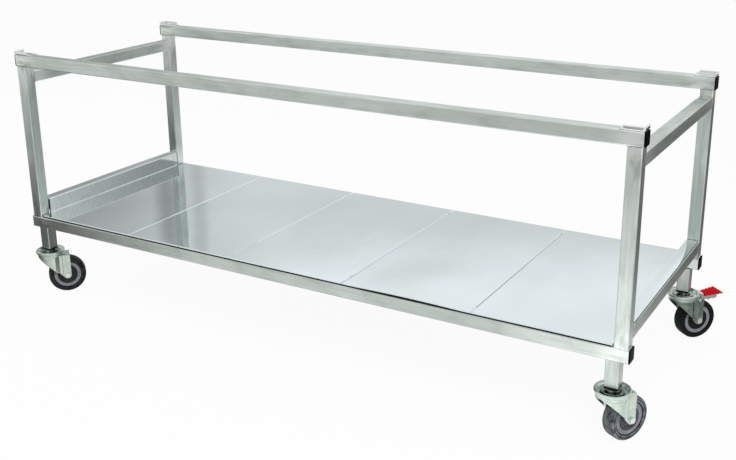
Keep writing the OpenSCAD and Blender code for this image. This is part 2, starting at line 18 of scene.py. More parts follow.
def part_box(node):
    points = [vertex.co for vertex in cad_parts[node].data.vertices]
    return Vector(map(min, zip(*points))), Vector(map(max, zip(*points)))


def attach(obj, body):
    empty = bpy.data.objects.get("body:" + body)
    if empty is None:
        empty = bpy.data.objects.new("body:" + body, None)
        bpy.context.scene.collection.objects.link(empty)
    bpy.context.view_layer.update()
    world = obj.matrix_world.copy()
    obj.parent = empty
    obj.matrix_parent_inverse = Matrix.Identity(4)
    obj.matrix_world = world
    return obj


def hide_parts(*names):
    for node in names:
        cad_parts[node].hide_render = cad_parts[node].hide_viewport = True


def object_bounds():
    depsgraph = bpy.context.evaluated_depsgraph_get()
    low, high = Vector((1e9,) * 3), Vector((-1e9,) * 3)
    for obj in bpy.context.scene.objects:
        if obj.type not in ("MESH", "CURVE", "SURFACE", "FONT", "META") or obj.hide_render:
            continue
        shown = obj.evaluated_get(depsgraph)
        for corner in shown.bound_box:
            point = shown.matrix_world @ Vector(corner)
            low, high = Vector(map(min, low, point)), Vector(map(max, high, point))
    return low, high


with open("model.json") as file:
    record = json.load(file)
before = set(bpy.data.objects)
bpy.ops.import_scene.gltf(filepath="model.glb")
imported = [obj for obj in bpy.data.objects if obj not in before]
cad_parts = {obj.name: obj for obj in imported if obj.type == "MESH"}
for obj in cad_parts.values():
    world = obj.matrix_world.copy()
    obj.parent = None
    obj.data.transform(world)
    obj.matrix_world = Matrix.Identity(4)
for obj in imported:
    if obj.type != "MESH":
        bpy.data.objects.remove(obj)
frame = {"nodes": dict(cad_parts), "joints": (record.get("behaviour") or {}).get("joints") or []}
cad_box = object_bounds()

MM = 0.001
X, Y, Z = np.eye(3)
print("CAD nodes:", len(frame["nodes"]), "box in metres:", *np.round(cad_box, 4).tolist())

# %% [markdown]
# ## Places
# Nothing here is measured by eye. The rails, the posts and the shelf give their own boxes, and the
# joints give the place of each castor's swivel and axle. A place is kept as a 4x4 matrix, so a
# piece can be worked out in its own plain millimetres and then carried to where it belongs. A
# castor's own frame has X along the trail, from swivel to axle, Y across the wheel and Z up.

# %% Read the places of the frame
def box(node):
    """Lowest and highest corner of a CAD node, as arrays."""
    return np.array(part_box(node))


rail_low, rail_high = box("lower_rail_front")
top_low, top_high = box("top_rail_front")
TUBE = rail_high[2] - rail_low[2]
half_length, half_depth = rail_high[0], -rail_low[1]
post_x = box("post_front_right")[:, 0].mean()
print("tube", TUBE.round(4), "half length", half_length.round(4), "depth", half_depth.round(4))

# %% Read the places of the castors
joints = {joint["name"]: joint for joint in frame["joints"]}
CORNERS = [name[len("swivel_"):] for name in joints if name.startswith("swivel_")]
BRAKED = [name[len("brake_pedal_"):] for name in joints if name.startswith("brake_pedal_")]


def place_of(x, y, z, origin, unit=MM):
    """Matrix of a frame: its columns are the axes X, Y and Z times the unit, and the origin."""
    matrix = np.eye(4)
    matrix[:3, :3] = np.column_stack([x, y, z]) * unit
    matrix[:3, 3] = origin
    return matrix


def upright_frame(corner):
    """A castor's own frame: its axes are the trail, the side and up."""
    swivel = np.array(joints["swivel_" + corner]["pos_m"])
    trail = (joints["wheel_spin_" + corner]["pos_m"] - swivel) * [1, 1, 0]
    trail /= np.linalg.norm(trail)
    return place_of(trail, np.cross(Z, trail), Z, swivel * [1, 1, 0])


def axle_frame(corner):
    """A wheel's own frame: X along the trail, Z along the axle, centre on the axle."""
    trail, side, up = upright_frame(corner)[:3, :3].T
    return place_of(trail, up, -side, joints["wheel_spin_" + corner]["pos_m"], 1)


apart = axle_frame(CORNERS[0])[:3, 3] - upright_frame(CORNERS[0])[:3, 3]
TRAIL, WHEEL_R = np.linalg.norm(apart[:2]) / MM, apart[2] / MM
print("castors:", CORNERS, "braked:", BRAKED)
print("trail", TRAIL.round(2), "mm, wheel radius", WHEEL_R.round(2), "mm")

# %% [markdown]
# ## Camera
# The camera stands at the front right corner, a little above the top rails, and looks down along
# the trolley. Three angles give its direction: how far it turns to the left of straight ahead, how
# far it dips and how far it leans. They are easier to read than the matrix they are turned into.

# %% Place the camera
CAMERA_PLACE = (1.332, -2.120, 1.154)
turn, dip, lean = np.radians([29.975, 17.516, -0.361])
LENS, SHIFT, FAR_CLIP = 50.19, (-0.0222, -0.0652), 60


def enter(thing):
    """Puts an object into the scene and gives it back."""
    bpy.context.scene.collection.objects.link(thing)
    return thing


ahead = np.array([-math.sin(turn) * math.cos(dip), math.cos(turn) * math.cos(dip), -math.sin(dip)])
level = np.array([math.cos(turn), math.sin(turn), 0])
across = math.cos(lean) * level + math.sin(lean) * np.cross(level, ahead)
camera = enter(bpy.data.objects.new("camera", bpy.data.cameras.new("camera")))
camera.data.lens, camera.data.clip_end = LENS, FAR_CLIP
camera.data.shift_x, camera.data.shift_y = SHIFT
pose = place_of(across, np.cross(across, ahead), -ahead, CAMERA_PLACE, 1)
camera.matrix_world = Matrix(pose.tolist())
bpy.context.scene.camera = camera
print("camera looks", ahead.round(3).tolist())

# %% [markdown]
# ## Floor and light
# The trolley stands on a plain white floor under a soft white sky, as in a daylight studio. Metal
# shows mostly what it mirrors, so the room matters more than the lamps: the sky and the floor look
# white to the camera and in reflections, while the lamps and a weaker sky do the lighting. One
# helper adds a node and fills its inputs, which keeps every tree of nodes short.

# %% Helpers for node trees
WHITE = (1, 1, 1, 1)


def add(tree, kind, inputs=(), **options):
    """A new shader node with its options; an input, by name or number, is a socket or a value."""
    node = tree.nodes.new("ShaderNode" + kind)
    for option, value in options.items():
        setattr(node, option, value)
    for place, value in dict(inputs).items():
        if isinstance(value, bpy.types.NodeSocket):
            tree.links.new(value, node.inputs[place])
        elif value is not None:
            node.inputs[place].default_value = value
    return node


def calculate(tree, how, first, *others):
    """Socket of Math nodes, one for each other value; a value is a socket or a number."""
    for value in others:
        first = add(tree, "Math", enumerate((first, value)), operation=how).outputs[0]
    return first


def between(tree, value, start, end, before=0, after=1, curve="SMOOTHSTEP"):
    """Socket that goes from before to after while the value goes from start to end."""
    inputs = enumerate((value, start, end, before, after))
    return add(tree, "MapRange", inputs, interpolation_type=curve).outputs[0]


def coordinate(tree, axis, system="Object"):
    """Socket of one coordinate, X, Y or Z: on the object in metres, or of a ray in the sky."""
    place = add(tree, "TexCoord").outputs[system]
    return add(tree, "SeparateXYZ", {0: place}).outputs[axis]


def lit_and_seen(tree, lit, seen, share=1.0):
    """Socket of a shader that lights as one, and shows as another to camera, glossy and
    transmission rays, for that share."""
    rays = add(tree, "LightPath").outputs
    kinds = [rays["Is %s Ray" % kind] for kind in ("Camera", "Glossy", "Transmission")]
    direct = calculate(tree, "MULTIPLY", calculate(tree, "MAXIMUM", *kinds), share)
    inputs = enumerate((direct, lit.outputs[0], seen.outputs[0]))
    return add(tree, "MixShader", inputs).outputs[0]


print("node helpers ready")

# %% Make the sky
bpy.context.scene.view_settings.view_transform = "Standard"
SKY_LIGHT, SKY_COLOUR = 0.55, (0.97, 0.985, 1.0, 1)
WALL_RISE, WALL_FALL, WALL_DIMMING = (13.5, 16.0), (19.5, 23.5), 0.25
world = bpy.data.worlds.new("studio")
bpy.context.scene.world = world
world.use_nodes = True
sky = world.node_tree


def wall_dimming(tree):
    """Socket for mirrored rays that rises to the dimming over one pair of angles above the
    horizon and falls over the next; a ray's own Z is the sine of its angle."""
    height = coordinate(tree, "Z", "Generated")
    rise = between(tree, height, *np.sin(np.radians(WALL_RISE)).tolist(), 0, WALL_DIMMING)
    fall = between(tree, height, *np.sin(np.radians(WALL_FALL)).tolist(), 1, 0)
    return calculate(tree, "MULTIPLY", add(tree, "LightPath").outputs["Is Glossy Ray"], rise, fall)


lighting = sky.nodes["Background"]
lighting.inputs["Color"].default_value = SKY_COLOUR
lighting.inputs["Strength"].default_value = SKY_LIGHT
strength = calculate(sky, "SUBTRACT", 1, wall_dimming(sky))
shown = add(sky, "Background", {"Color": WHITE, "Strength": strength})
sky.links.new(lit_and_seen(sky, lighting, shown), sky.nodes["World Output"].inputs["Surface"])
print("sky light", SKY_LIGHT)

# %% Lay the floor
FLOOR_HALF, FLOOR_GLOW, FLOOR_COLOUR = 24.0, 0.94, (0.9, 0.9, 0.9, 1)
FLOOR_LEVEL = cad_box[0][2] - 0.0002


def flat_card(name, centre, along, side):
    """A flat rectangle with a bare material: its centre, and half of each of its two edges as
    vectors. Gives the card, its tree and the socket of its surface."""
    corners = [centre + u * along + v * side for u, v in ((-1, -1), (1, -1), (1, 1), (-1, 1))]
    mesh = bpy.data.meshes.new(name)
    mesh.from_pydata([corner.tolist() for corner in corners], [], [(0, 1, 2, 3)])
    card = enter(bpy.data.objects.new(name, mesh))
    material = bpy.data.materials.new(name + "_paper")
    material.use_nodes = True
    mesh.materials.append(material)
    tree = material.node_tree
    tree.nodes.remove(tree.nodes["Principled BSDF"])
    return card, tree, tree.nodes["Material Output"].inputs["Surface"]


tree, surface = flat_card("floor", (0, 0, FLOOR_LEVEL), FLOOR_HALF * X, FLOOR_HALF * Y)[1:]
matt = add(tree, "BsdfDiffuse", {"Color": FLOOR_COLOUR})
glow = add(tree, "Emission", {"Color": WHITE, "Strength": 1})
tree.links.new(lit_and_seen(tree, matt, glow, FLOOR_GLOW), surface)
print("floor at", round(FLOOR_LEVEL, 5))

# %% Hang the lamps
def softbox(name, place, power, aim=(0, 0, 0.3), size=1.6):
    """A square area lamp at a place, turned towards a point."""
    lamp = bpy.data.lights.new(name, "AREA")
    lamp.shape, lamp.size, lamp.energy = "SQUARE", size, power
    thing = enter(bpy.data.objects.new(name, lamp))
    thing.rotation_mode = "QUATERNION"
    thing.rotation_quaternion = (Vector(aim) - Vector(place)).to_track_quat("-Z", "Y")
    thing.location = place
    thing.visible_glossy = False


softbox("key_light", (1.9, -2.4, 3.2), 70)
softbox("fill_light", (-2.6, -1.2, 2.6), 25)

# %% [markdown]
# ### Cards for the reflections
# In an all-white room bright steel looks like paper. A studio therefore stands grey cards round the
# object: it is what they take away from the white that draws the edges. A large soft card lies on
# the floor here, two stand far behind, on the left and on the right, and a small dark one stands
# far in front on the left. Only glossy rays see them, so they neither show nor throw a shadow.
# Shady and bright pools lie where a face mirrors the card, with soft rims that leave no line.

# %% Helpers for the cards
def pool(tree, centre, reach, depth, rim):
    """Factor socket that is depth round a centre, and goes smoothly to 1 at the reach along each
    axis, over the outer share given by the rim."""
    place = add(tree, "TexCoord").outputs["Object"]
    inputs = {"Vector": place, "Location": centre, "Scale": reach}
    vector = add(tree, "Mapping", inputs, vector_type="TEXTURE").outputs[0]
    ball = add(tree, "TexGradient", {0: vector}, gradient_type="SPHERICAL").outputs["Fac"]
    return between(tree, ball, 0, rim, 1, depth)


def reflection_card(name, centre, along, side, level, *pools):
    """A card that only glossy rays see: its level times the factor of each of its pools."""
    card, tree, surface = flat_card(name, centre, along, side)
    strength = calculate(tree, "MULTIPLY", level, *[pool(tree, *shape) for shape in pools])
    glow = add(tree, "Emission", {"Color": WHITE, "Strength": strength})
    tree.links.new(glow.outputs[0], surface)
    card.visible_camera = card.visible_diffuse = False
    card.visible_shadow = card.visible_transmission = False


print("card helpers ready")

# %% Stand the cards
# Each pool: centre and reach in metres, depth, rim.
reflection_card(
    "floor_card", (0, 0, 0.0004), 7 * X, 7 * Y, 0.98,
    ((-1.90, -0.50, 0), (1.40, 0.88, 1), 0.06, 0.5), ((-2.20, -0.90, 0), (1.7, 1.7, 1), 0.72, 0.8),
    ((0.00, 0.05, 0), (1.00, 0.50, 1), 0.12, 0.5), ((0.80, -0.72, 0), (0.55, 0.80, 1), 1.40, 0.8),
    ((0.30, -2.35, 0), (0.70, 0.60, 1), 0.04, 0.8), ((-0.60, -3.00, 0), (0.90, 0.80, 1), 0.52, 0.8),
    ((1.25, 0.75, 0), (0.80, 1.20, 1), 0.40, 0.8), ((1.45, 2.60, 0), (1.40, 2.30, 1), 0.02, 0.8),
    ((0.48, -1.40, 0), (0.50, 0.60, 1), 1.45, 0.8), ((0.80, 1.10, 0), (1.30, 0.90, 1), 0.50, 0.8),
    ((-0.9, -4.2, 0), (5.5, 3.0, 1), 0.52, 0.7), ((1.30, 1.20, 0), (0.50, 1.60, 1), 0.42, 0.9))
reflection_card(
    "rear_card", (-8.0, 6.0, 2.6), 3.6 * X, 2.6 * Z, 0.76,
    ((-8.4, 6.0, 2.3), (3.6, 1, 3.0), 0.52, 0.7), ((-6.12, 6.0, 3.1), (0.27, 1, 1.7), 0.58, 0.9),
    ((-5.66, 6.0, 3.1), (0.17, 1, 1.7), 0.80, 0.9), ((-4.40, 6.0, 3.6), (0.90, 1, 0.75), 1.32, 1.0))
reflection_card("right_card", (6.5, 6.2, 2.5), 5.4 * Y, 2.5 * Z, 0.92,
                ((6.5, 9.2, 2.6), (1, 3.6, 3.2), 0.49, 0.6))
reflection_card("front_card", (-7.0, -6.5, 3.1), 1.6 * X, 1.0 * Z, 0.20,
                ((-7.0, -6.5, 3.1), (1.6, 1, 1.1), 0.60, 0.9))

# %% [markdown]
# ## Finishes
# A finish is a small tree of nodes: patterns read the place on the object in metres, ramps turn
# them into a colour or a roughness, and a bump gives the surface its relief. Such a tree needs no
# picture and no unwrapping, and it is as sharp close up as far away. Colours are written as they
# look on a screen, and turned into linear light.

# %% Colours and materials
def linear(code):
    """Linear colour of a screen colour: a channel below 0.04 is divided by 12.92, others follow a
    power of 2.4."""
    screen = np.array([int(code[i:i + 2], 16) for i in (1, 3, 5)]) / 255
    light = np.where(screen < 0.04045, screen / 12.92, ((screen + 0.055) / 1.055) ** 2.4)
    return (*light.tolist(), 1)


def begin(name, metallic=0, gloss=0.5):
    """A new material with one Principled shader, and its tree."""
    material = bpy.data.materials.new(name)
    material.use_nodes = True
    inputs = material.node_tree.nodes["Principled BSDF"].inputs
    inputs["Metallic"].default_value = metallic
    inputs["Specular IOR Level"].default_value = gloss
    return material, material.node_tree


def dress(material, colour, rough, normal):
    """Leads three sockets into a material's shader and gives the material back."""
    inputs = material.node_tree.nodes["Principled BSDF"].inputs
    for name, socket in (("Base Color", colour), ("Roughness", rough), ("Normal", normal)):
        material.node_tree.links.new(socket, inputs[name])
    return material


print("mid grey is", round(linear("#808080")[0], 3), "in linear light")

# %% Patterns, ramps and relief
def pattern(tree, per_metre, detail=3, axis="", share=1):
    """Socket of a noise on the object's own place, drawn out along an axis by a share below 1."""
    stretch = [share if name == axis else 1 for name in "XYZ"]
    inputs = {"Vector": add(tree, "TexCoord").outputs["Object"], "Scale": stretch}
    vector = add(tree, "Mapping", inputs).outputs[0]
    inputs = {"Vector": vector, "Scale": per_metre, "Detail": detail}
    return add(tree, "TexNoise", inputs).outputs[0]


def attribute(tree, name):
    """Socket of a number that the piece carries at each of its points."""
    return add(tree, "Attribute", attribute_name=name).outputs["Fac"]


def ramp(tree, factor, *values, stops=(0.3, 0.7)):
    """Colour socket through screen colours or greys, each at its stop from 0 to 1."""
    node = add(tree, "ValToRGB", {0: factor})
    elements = node.color_ramp.elements
    while len(elements) < len(stops):
        elements.new(0.5)
    for element, place, value in zip(elements, stops, values):
        element.position = place
        element.color = linear(value) if isinstance(value, str) else (value, value, value, 1)
    return node.outputs[0]


def mixed(tree, factor, first, second, how="MIX"):
    """Colour socket that mixes two colour sockets; factor is a socket or a number."""
    inputs = {0: factor, 6: first, 7: second}
    return add(tree, "Mix", inputs, data_type="RGBA", blend_type=how).outputs[2]


def relief(tree, height, depth, below=None):
    """Normal socket of a height pattern, depth in metres, laid over the relief below it."""
    inputs = {"Strength": 1, "Distance": depth, "Height": height, "Normal": below}
    return add(tree, "Bump", inputs).outputs[0]


print("finish helpers ready")

# %% [markdown]
# ### Stainless steel
# Square tube for catering furniture is ground along its length, so its grain runs with the tube:
# fine lines, broader streaks and slow clouds where the belt pressed harder. The same finish is
# therefore made once for each direction, and it is brighter and mottled where the welds have been
# cleaned. Sheet is smoother, almost a mirror, and shows only faint rolling lines and wiping marks.

# %% Satin tube
TUBE_TONES = ("#adb7b0", "#c1c9c4", "#d2d9d5")
# Painted light: lighter copies of the tube tones, for the right top cross rail and the top rails.
PAINTED_LIGHT_TONES = ("#b2bcb5", "#c8d0cb", "#dae1dd")
PAINTED_LIGHT_TOP_TONES = ("#b6c0b9", "#ccd4cf", "#dde4e0")


def satin_tube(name, axis, middle, start, end, tones=TUBE_TONES):
    """Ground stainless tube with its grain along one axis, bright and mottled near its welds,
    which begin between two distances from the middle. Tones are the screen colours of the metal
    where the belt pressed least, on average and most."""
    material, tree = begin("satin_tube_" + name, metallic=1)
    clouds = pattern(tree, 9, 4, axis, 0.55)
    blotches = pattern(tree, 46, 5, axis, 0.40)
    streaks = pattern(tree, 190, 3, axis, 0.05)
    lines = pattern(tree, 1500, 2, axis, 0.012)
    broad = ramp(tree, clouds, *tones, stops=(0.30, 0.52, 0.72))
    fine = ramp(tree, streaks, tones[0], tones[2])
    spotted = ramp(tree, blotches, 0.87, 0.98, 1, stops=(0.32, 0.50, 0.66))
    ground = mixed(tree, 1, mixed(tree, 0.45, broad, fine), spotted, "MULTIPLY")
    cleaned = ramp(tree, blotches, "#9aa19b", "#d5dad6", "#eef2f0", stops=(0.36, 0.46, 0.60))
    away = calculate(tree, "SUBTRACT", coordinate(tree, axis), middle)
    near = between(tree, calculate(tree, "ABSOLUTE", away, 0), start, end)
    colour = mixed(tree, calculate(tree, "MULTIPLY", near, 0.70), ground, cleaned)
    rough = mixed(tree, 0.5, ramp(tree, clouds, 0.36, 0.27), ramp(tree, streaks, 0.38, 0.24))
    normal = relief(tree, streaks, 0.00012, relief(tree, lines, 0.00003))
    return dress(material, colour, rough, normal)


print("tones of the ground tube:", *TUBE_TONES)

# %% Give each tube its grain
post_middle = (rail_high[2] + top_low[2]) / 2
post_reach = (top_low[2] - rail_high[2]) / 2
weld_x, weld_y = post_x - TUBE / 2, half_depth - TUBE
# The middle of a tube, and where the brightness of its welds begins and is full.
lengthwise, crosswise = (0, weld_x - 0.05, weld_x), (0, weld_y - 0.07, weld_y)
upright, NO_WELDS = (post_middle, post_reach - 0.09, post_reach), (0, 1, 2)
TUBE_FINISH = {
    # Painted light: the right top cross rail and the top rails get lighter tones of the same tube.
    "top_cross_rail_right": satin_tube("crosswise_right_painted_light", "Y", *crosswise, PAINTED_LIGHT_TONES),
    "top_cross": satin_tube("crosswise", "Y", *crosswise),
    "top_rail": satin_tube("lengthwise_top_painted_light", "X", *lengthwise, PAINTED_LIGHT_TOP_TONES),
    "lower_rail": satin_tube("lengthwise", "X", *lengthwise),
    "post": satin_tube("upright", "Z", *upright),
    "leg": satin_tube("leg", "Z", *NO_WELDS),
}
TUBE_FINISH["lower_cross"] = TUBE_FINISH["top_cross"]
print("tube finishes:", *TUBE_FINISH)

# %% Bright sheet
def bright_sheet(name, axis, base, shine, standing=()):
    """Cold-rolled stainless sheet: base is its two screen colours, shine its two roughnesses. What
    stands upright, between the two heights if they are given, is duller and lightly scratched; it
    begins over 3 mm."""
    material, tree = begin(name, metallic=1)
    clouds = pattern(tree, 5, 3, axis, 0.7)
    rolled = pattern(tree, 320, 2, axis, 0.02)
    colour = ramp(tree, clouds, *base)
    gloss = ramp(tree, pattern(tree, 38, 5, axis, 0.35), *shine, stops=(0.35, 0.75))
    if standing:
        above = [between(tree, coordinate(tree, "Z"), level, level + 0.003, curve="LINEAR")
                 for level in standing]
        stands = calculate(tree, "SUBTRACT", *above)
        scratches = pattern(tree, 170, 5, "Z", 0.22)
        colour = mixed(tree, stands, colour, ramp(tree, scratches, "#c6cac7", "#d9dddb"))
        gloss = mixed(tree, stands, gloss, ramp(tree, scratches, 0.13, 0.09))
    normal = relief(tree, clouds, 0.0006, relief(tree, rolled, 0.00001))
    return dress(material, colour, gloss, normal)


upright_part = (box("shelf_panel_3")[1][2] + 0.001, box("shelf_panel_1")[1][2] - 0.003)
SHELF_FINISH = bright_sheet("shelf_sheet", "Y", ("#d9e3e5", "#e3edef"), (0.03, 0.07), upright_part)
BRACKET_FINISH = bright_sheet("bracket_sheet", "X", ("#d9dedc", "#eceeed"), (0.16, 0.26))
WELD_METAL = bright_sheet("weld_metal", "X", ("#b8b3a6", "#cdd2d4"), (0.24, 0.34))
BALL_STEEL = bright_sheet("bearing_steel", "Z", ("#d8dadd", "#e4e6e8"), (0.08, 0.12))
print("sheet finishes:", SHELF_FINISH.name, BRACKET_FINISH.name)

# %% [markdown]
# ### Castor finishes
# The pressed forks, levers and bolts are bright zinc: silvery with a faint green and yellow bloom,
# softly mottled by the bath. Shade is painted into the zinc: dark round the leg in the dish of the
# head, and in the crease of the fork, black on the rear castors, whose forks are painted darker all
# over as shade; the race under the leg is painted darker too. Each piece carries a number that says
# where the painted shade lies. Wheels are moulded: a dark grey tread of thermoplastic rubber, a mid
# grey core with a fine grain, and darker thread guards, each wheel painted lighter or darker as
# light and shade. Pedals are red, caps and plugs are black.

# %% Zinc plating
def zinc_plate(name, tones=("#d0d8d2", "#eef2ef"), painted_shade=()):
    """Bright zinc: two close colours in soft patches, with fine pits. Painted shade, if given, is
    three darker colours laid where the attribute painted_shade is 1, as shade in a dish or crease."""
    material, tree = begin(name, metallic=1)
    patches, bloom = pattern(tree, 60, 4), pattern(tree, 22, 2)
    silver = ramp(tree, patches, *tones, stops=(0.35, 0.65))
    tinted = ramp(tree, bloom, "#d3dfd6", "#eef2ee", "#ececdc", stops=(0.35, 0.55, 0.75))
    silver = mixed(tree, 0.6, silver, tinted, "MULTIPLY")
    if painted_shade:
        shade_colour = ramp(tree, pattern(tree, 150, 4), *painted_shade, stops=(0.36, 0.50, 0.62))
        silver = mixed(tree, attribute(tree, "painted_shade"), silver, shade_colour)
    pits = relief(tree, pattern(tree, 1300, 2), 0.00003, relief(tree, bloom, 0.0006))
    return dress(material, silver, ramp(tree, patches, 0.24, 0.14), pits)


ZINC = zinc_plate("bright_zinc")
# Painted shade: the race in the dish under the leg gets darker zinc tones.
RACE_ZINC = zinc_plate("shaded_race_zinc", ("#55605a", "#b4beb7"))
PLAIN_ZINC_TONES, SHADED_ZINC_TONES = ("#c4cec6", "#d6ded8"), ("#77827a", "#a4afa6")
# Painted shade: dark tones for the dish round the leg, and for the crease of the fork, black at the
# rear.
DISH_SHADE_TONES = ("#222925", "#6f7a73", "#b9c2bc")
FRONT_CREASE_SHADE, REAR_CREASE_SHADE = ("#7a837c", "#98a19a", "#bcc5be"), ("#0b0d0c", "#171b19", "#3a413d")
FORK_ZINC, HEAD_ZINC = {}, {}
for corner in CORNERS:
    # Painted shade: the forks of the rear castors get darker zinc tones all over.
    look = (SHADED_ZINC_TONES, REAR_CREASE_SHADE) if corner.startswith("rear") else (PLAIN_ZINC_TONES, FRONT_CREASE_SHADE)
    FORK_ZINC[corner] = zinc_plate("zinc_fork_" + corner, *look)
    HEAD_ZINC[corner] = zinc_plate("zinc_head_" + corner, PLAIN_ZINC_TONES, DISH_SHADE_TONES)
print("zinc finishes:", 2 + len(FORK_ZINC) + len(HEAD_ZINC))

# %% Moulded plastics and rubber
# Shares of the wheel's radius, and how bright the rubber is there: painted shade at the step to the
# rim, in the groove and over the shoulder.
RING_STOPS = (0.72, 0.762, 0.775, 0.82, 0.835, 0.885, 0.90, 0.945, 0.975, 1)
RING_SHADE_TONES = (0.10, 0.12, 0.95, 1, 0.30, 0.32, 1, 0.80, 0.45, 0.62)


def moulded(name, dark, light, rough, grain=900, depth=0.00005, clouds=50, gloss=0.5):
    """Plastic or rubber: two screen colours in clouds, two roughnesses, and a grain, given by how
    many per metre and by its depth."""
    material, tree = begin(name, gloss=gloss)
    tone = pattern(tree, clouds, 5)
    skin = relief(tree, pattern(tree, grain, 3), depth)
    return dress(material, ramp(tree, tone, dark, light), ramp(tree, tone, *rough), skin)


def tyre_rubber(corner, dark, light):
    """Thermoplastic rubber: dusty clouds between two screen colours, with painted shade in its
    rings.
    """
    material, tree = begin("tread_rubber_" + corner, gloss=0.15)
    dust = pattern(tree, 75, 6)
    rings = ramp(tree, attribute(tree, "radius"), *RING_SHADE_TONES, stops=RING_STOPS)
    dusty = ramp(tree, dust, dark, light, stops=(0.34, 0.66))
    skin = relief(tree, pattern(tree, 800, 3), 0.00008)
    colour = mixed(tree, 1, dusty, rings, "MULTIPLY")
    return dress(material, colour, ramp(tree, dust, 0.46, 0.68), skin)


print("rings on a sidewall, stops:", len(RING_STOPS))

# %% Mould the castors and the caps
# Tread and thread guards of each wheel, dark and light: painted light and shade, lightest on the
# front right wheel and darkest on the rear right.
LIT_AND_SHADED_WHEEL_TONES = {"front_right": ("#43484b", "#9ba1a6", "#3a3f43", "#565c61"),
        "front_left": ("#171b1b", "#3f4746", "#1a1e1f", "#2e3334"),
        "rear_right": ("#070808", "#1f2223", "#0a0b0c", "#1a1c1e"),
        "rear_left": ("#121415", "#34383a", "#121415", "#26292b")}
CAP_BLACK = moulded("cap_plastic", "#030404", "#090a0a", (0.22, 0.34), clouds=30, gloss=0.008)
PLUG_BLACK = moulded("plug_rubber", "#0d0e0f", "#191a1b", (0.50, 0.66), 700, 0.00008, 30, 0.15)
CORE_GREY = moulded("core_plastic", "#80838a", "#94979c", (0.36, 0.50), gloss=0.3)
PEDAL_RED = moulded("pedal_plastic", "#c4060e", "#d80c15", (0.55, 0.70), 700, clouds=40, gloss=0.06)
BRAKE_BLACK = moulded("brake_rubber", "#1c1d1f", "#2b2d30", (0.60, 0.80), 600, 0.0001)
TREADS, GUARDS = {}, {}
for corner in CORNERS:
    tread, guard = LIT_AND_SHADED_WHEEL_TONES[corner][:2], LIT_AND_SHADED_WHEEL_TONES[corner][2:]
    TREADS[corner] = tyre_rubber(corner, *tread)
    GUARDS[corner] = moulded("guard_plastic_" + corner, *guard, (0.34, 0.48), gloss=0.15)
print("moulded finishes:", CAP_BLACK.name, PLUG_BLACK.name, CORE_GREY.name, PEDAL_RED.name)

# %% Give the CAD nodes their finish
FINISHES = {
    **TUBE_FINISH, "end_caps": CAP_BLACK, "corner_bracket": BRACKET_FINISH,
    "shelf_panel": SHELF_FINISH, "castor_expanders": PLUG_BLACK, "swivel_balls": BALL_STEEL,
    "wheel_core": CORE_GREY, "tyre": TREADS[CORNERS[0]], "thread_guards": GUARDS[CORNERS[0]],
    "brake_pedal": PEDAL_RED, "brake_shoe": BRAKE_BLACK,
}
for name, thing in frame["nodes"].items():
    fitting = [finish for start, finish in FINISHES.items() if name.startswith(start)] + [ZINC]
    thing.data.materials.clear()
    thing.data.materials.append(fitting[0])
print("dressed", len(frame["nodes"]), "nodes")

# %% [markdown]
# ## Surfaces from numbers
# Each new piece is a grid of points worked out in one go, and faces that join neighbouring points.
# A surface made this way follows its formula exactly, where one pushed about by hand would not. A
# few helpers cover nearly everything: a grid, a loop with rounded corners, a profile turned round
# an axis, and an outline given a thickness with soft edges.

# %% Grids of points and faces
def grid(x, y, z, wrap_rows=False, wrap_columns=False):
    """Points and four-sided faces of a surface whose x, y and z are given over rows and columns; a
    wrapped direction joins its end to its start."""
    points = np.stack(np.broadcast_arrays(x, y, z), -1)
    rows, columns = points.shape[:2]
    row = np.arange(rows if wrap_rows else rows - 1)[:, None]
    column = np.arange(columns if wrap_columns else columns - 1)
    low, high = row * columns, (row + 1) % rows * columns
    after = (column + 1) % columns
    faces = np.stack([low + column, low + after, high + after, high + column], -1)
    return points.reshape(-1, 3), faces.reshape(-1, 4).tolist()


def capped(shell, count):
    """A tube made of rows of so many points, with its first and its last row closed by a face."""
    points, faces = shell
    total = len(points)
    return points, faces + [list(range(count))[::-1], list(range(total - count, total))]


def joined(*shells):
    """One list of points and faces from several (points, faces) shells."""
    points, faces, count = [], [], 0
    for some_points, some_faces in shells:
        points.append(some_points)
        faces += [[i + count for i in face] for face in some_faces]
        count += len(some_points)
    return np.concatenate(points), faces


def moved(shell, matrix):
    """A shell with its points carried through a 4x4 matrix."""
    return shell[0] @ matrix[:3, :3].T + matrix[:3, 3], shell[1]


print("faces of an open 3 x 4 grid:", len(grid(*np.zeros((3, 3, 4)))[1]))

# %% Loops with rounded corners
def length(vectors):
    """Length of each row, as a column."""
    return np.linalg.norm(vectors, axis=1, keepdims=True)


def rounded(rows, steps=6, closed=True):
    """Corners in order, each a place and a radius, replaced by arcs: one starts at the radius over
    the tangent of half the corner's angle, and its centre is on the bisector at the radius over
    the sine of that half."""
    corners, radii = np.split(np.asarray(rows, float), [2], 1)
    before, after = np.roll(corners, 1, 0) - corners, np.roll(corners, -1, 0) - corners
    before, after = before / length(before), after / length(after)
    half = np.arccos(np.clip((before * after).sum(1, keepdims=True), -1, 1)) / 2
    half = np.maximum(half, 1e-6)
    middle = before + after
    centre = corners + middle / np.maximum(length(middle), 1e-9) * (radii / np.sin(half))
    start = corners + before * (radii / np.tan(half)) - centre
    end = corners + after * (radii / np.tan(half)) - centre
    share = np.linspace(0, 1, steps)[None, :, None]
    sweep = (np.pi - 2 * half)[:, None]
    arc = np.sin((1 - share) * sweep) * start[:, None] + np.sin(share * sweep) * end[:, None]
    arc = arc / np.sin(np.maximum(sweep, 1e-6)) + centre[:, None]
    sharp = radii[:, 0] < 1e-9
    arc[sharp] = corners[sharp][:, None]
    if not closed:
        arc[[0, -1]] = corners[[0, -1]][:, None]
    points = arc.reshape(-1, 2)
    keep = length(points - np.roll(points, 1, 0))[:, 0] > 1e-7
    keep[0] |= not closed
    return points[keep]


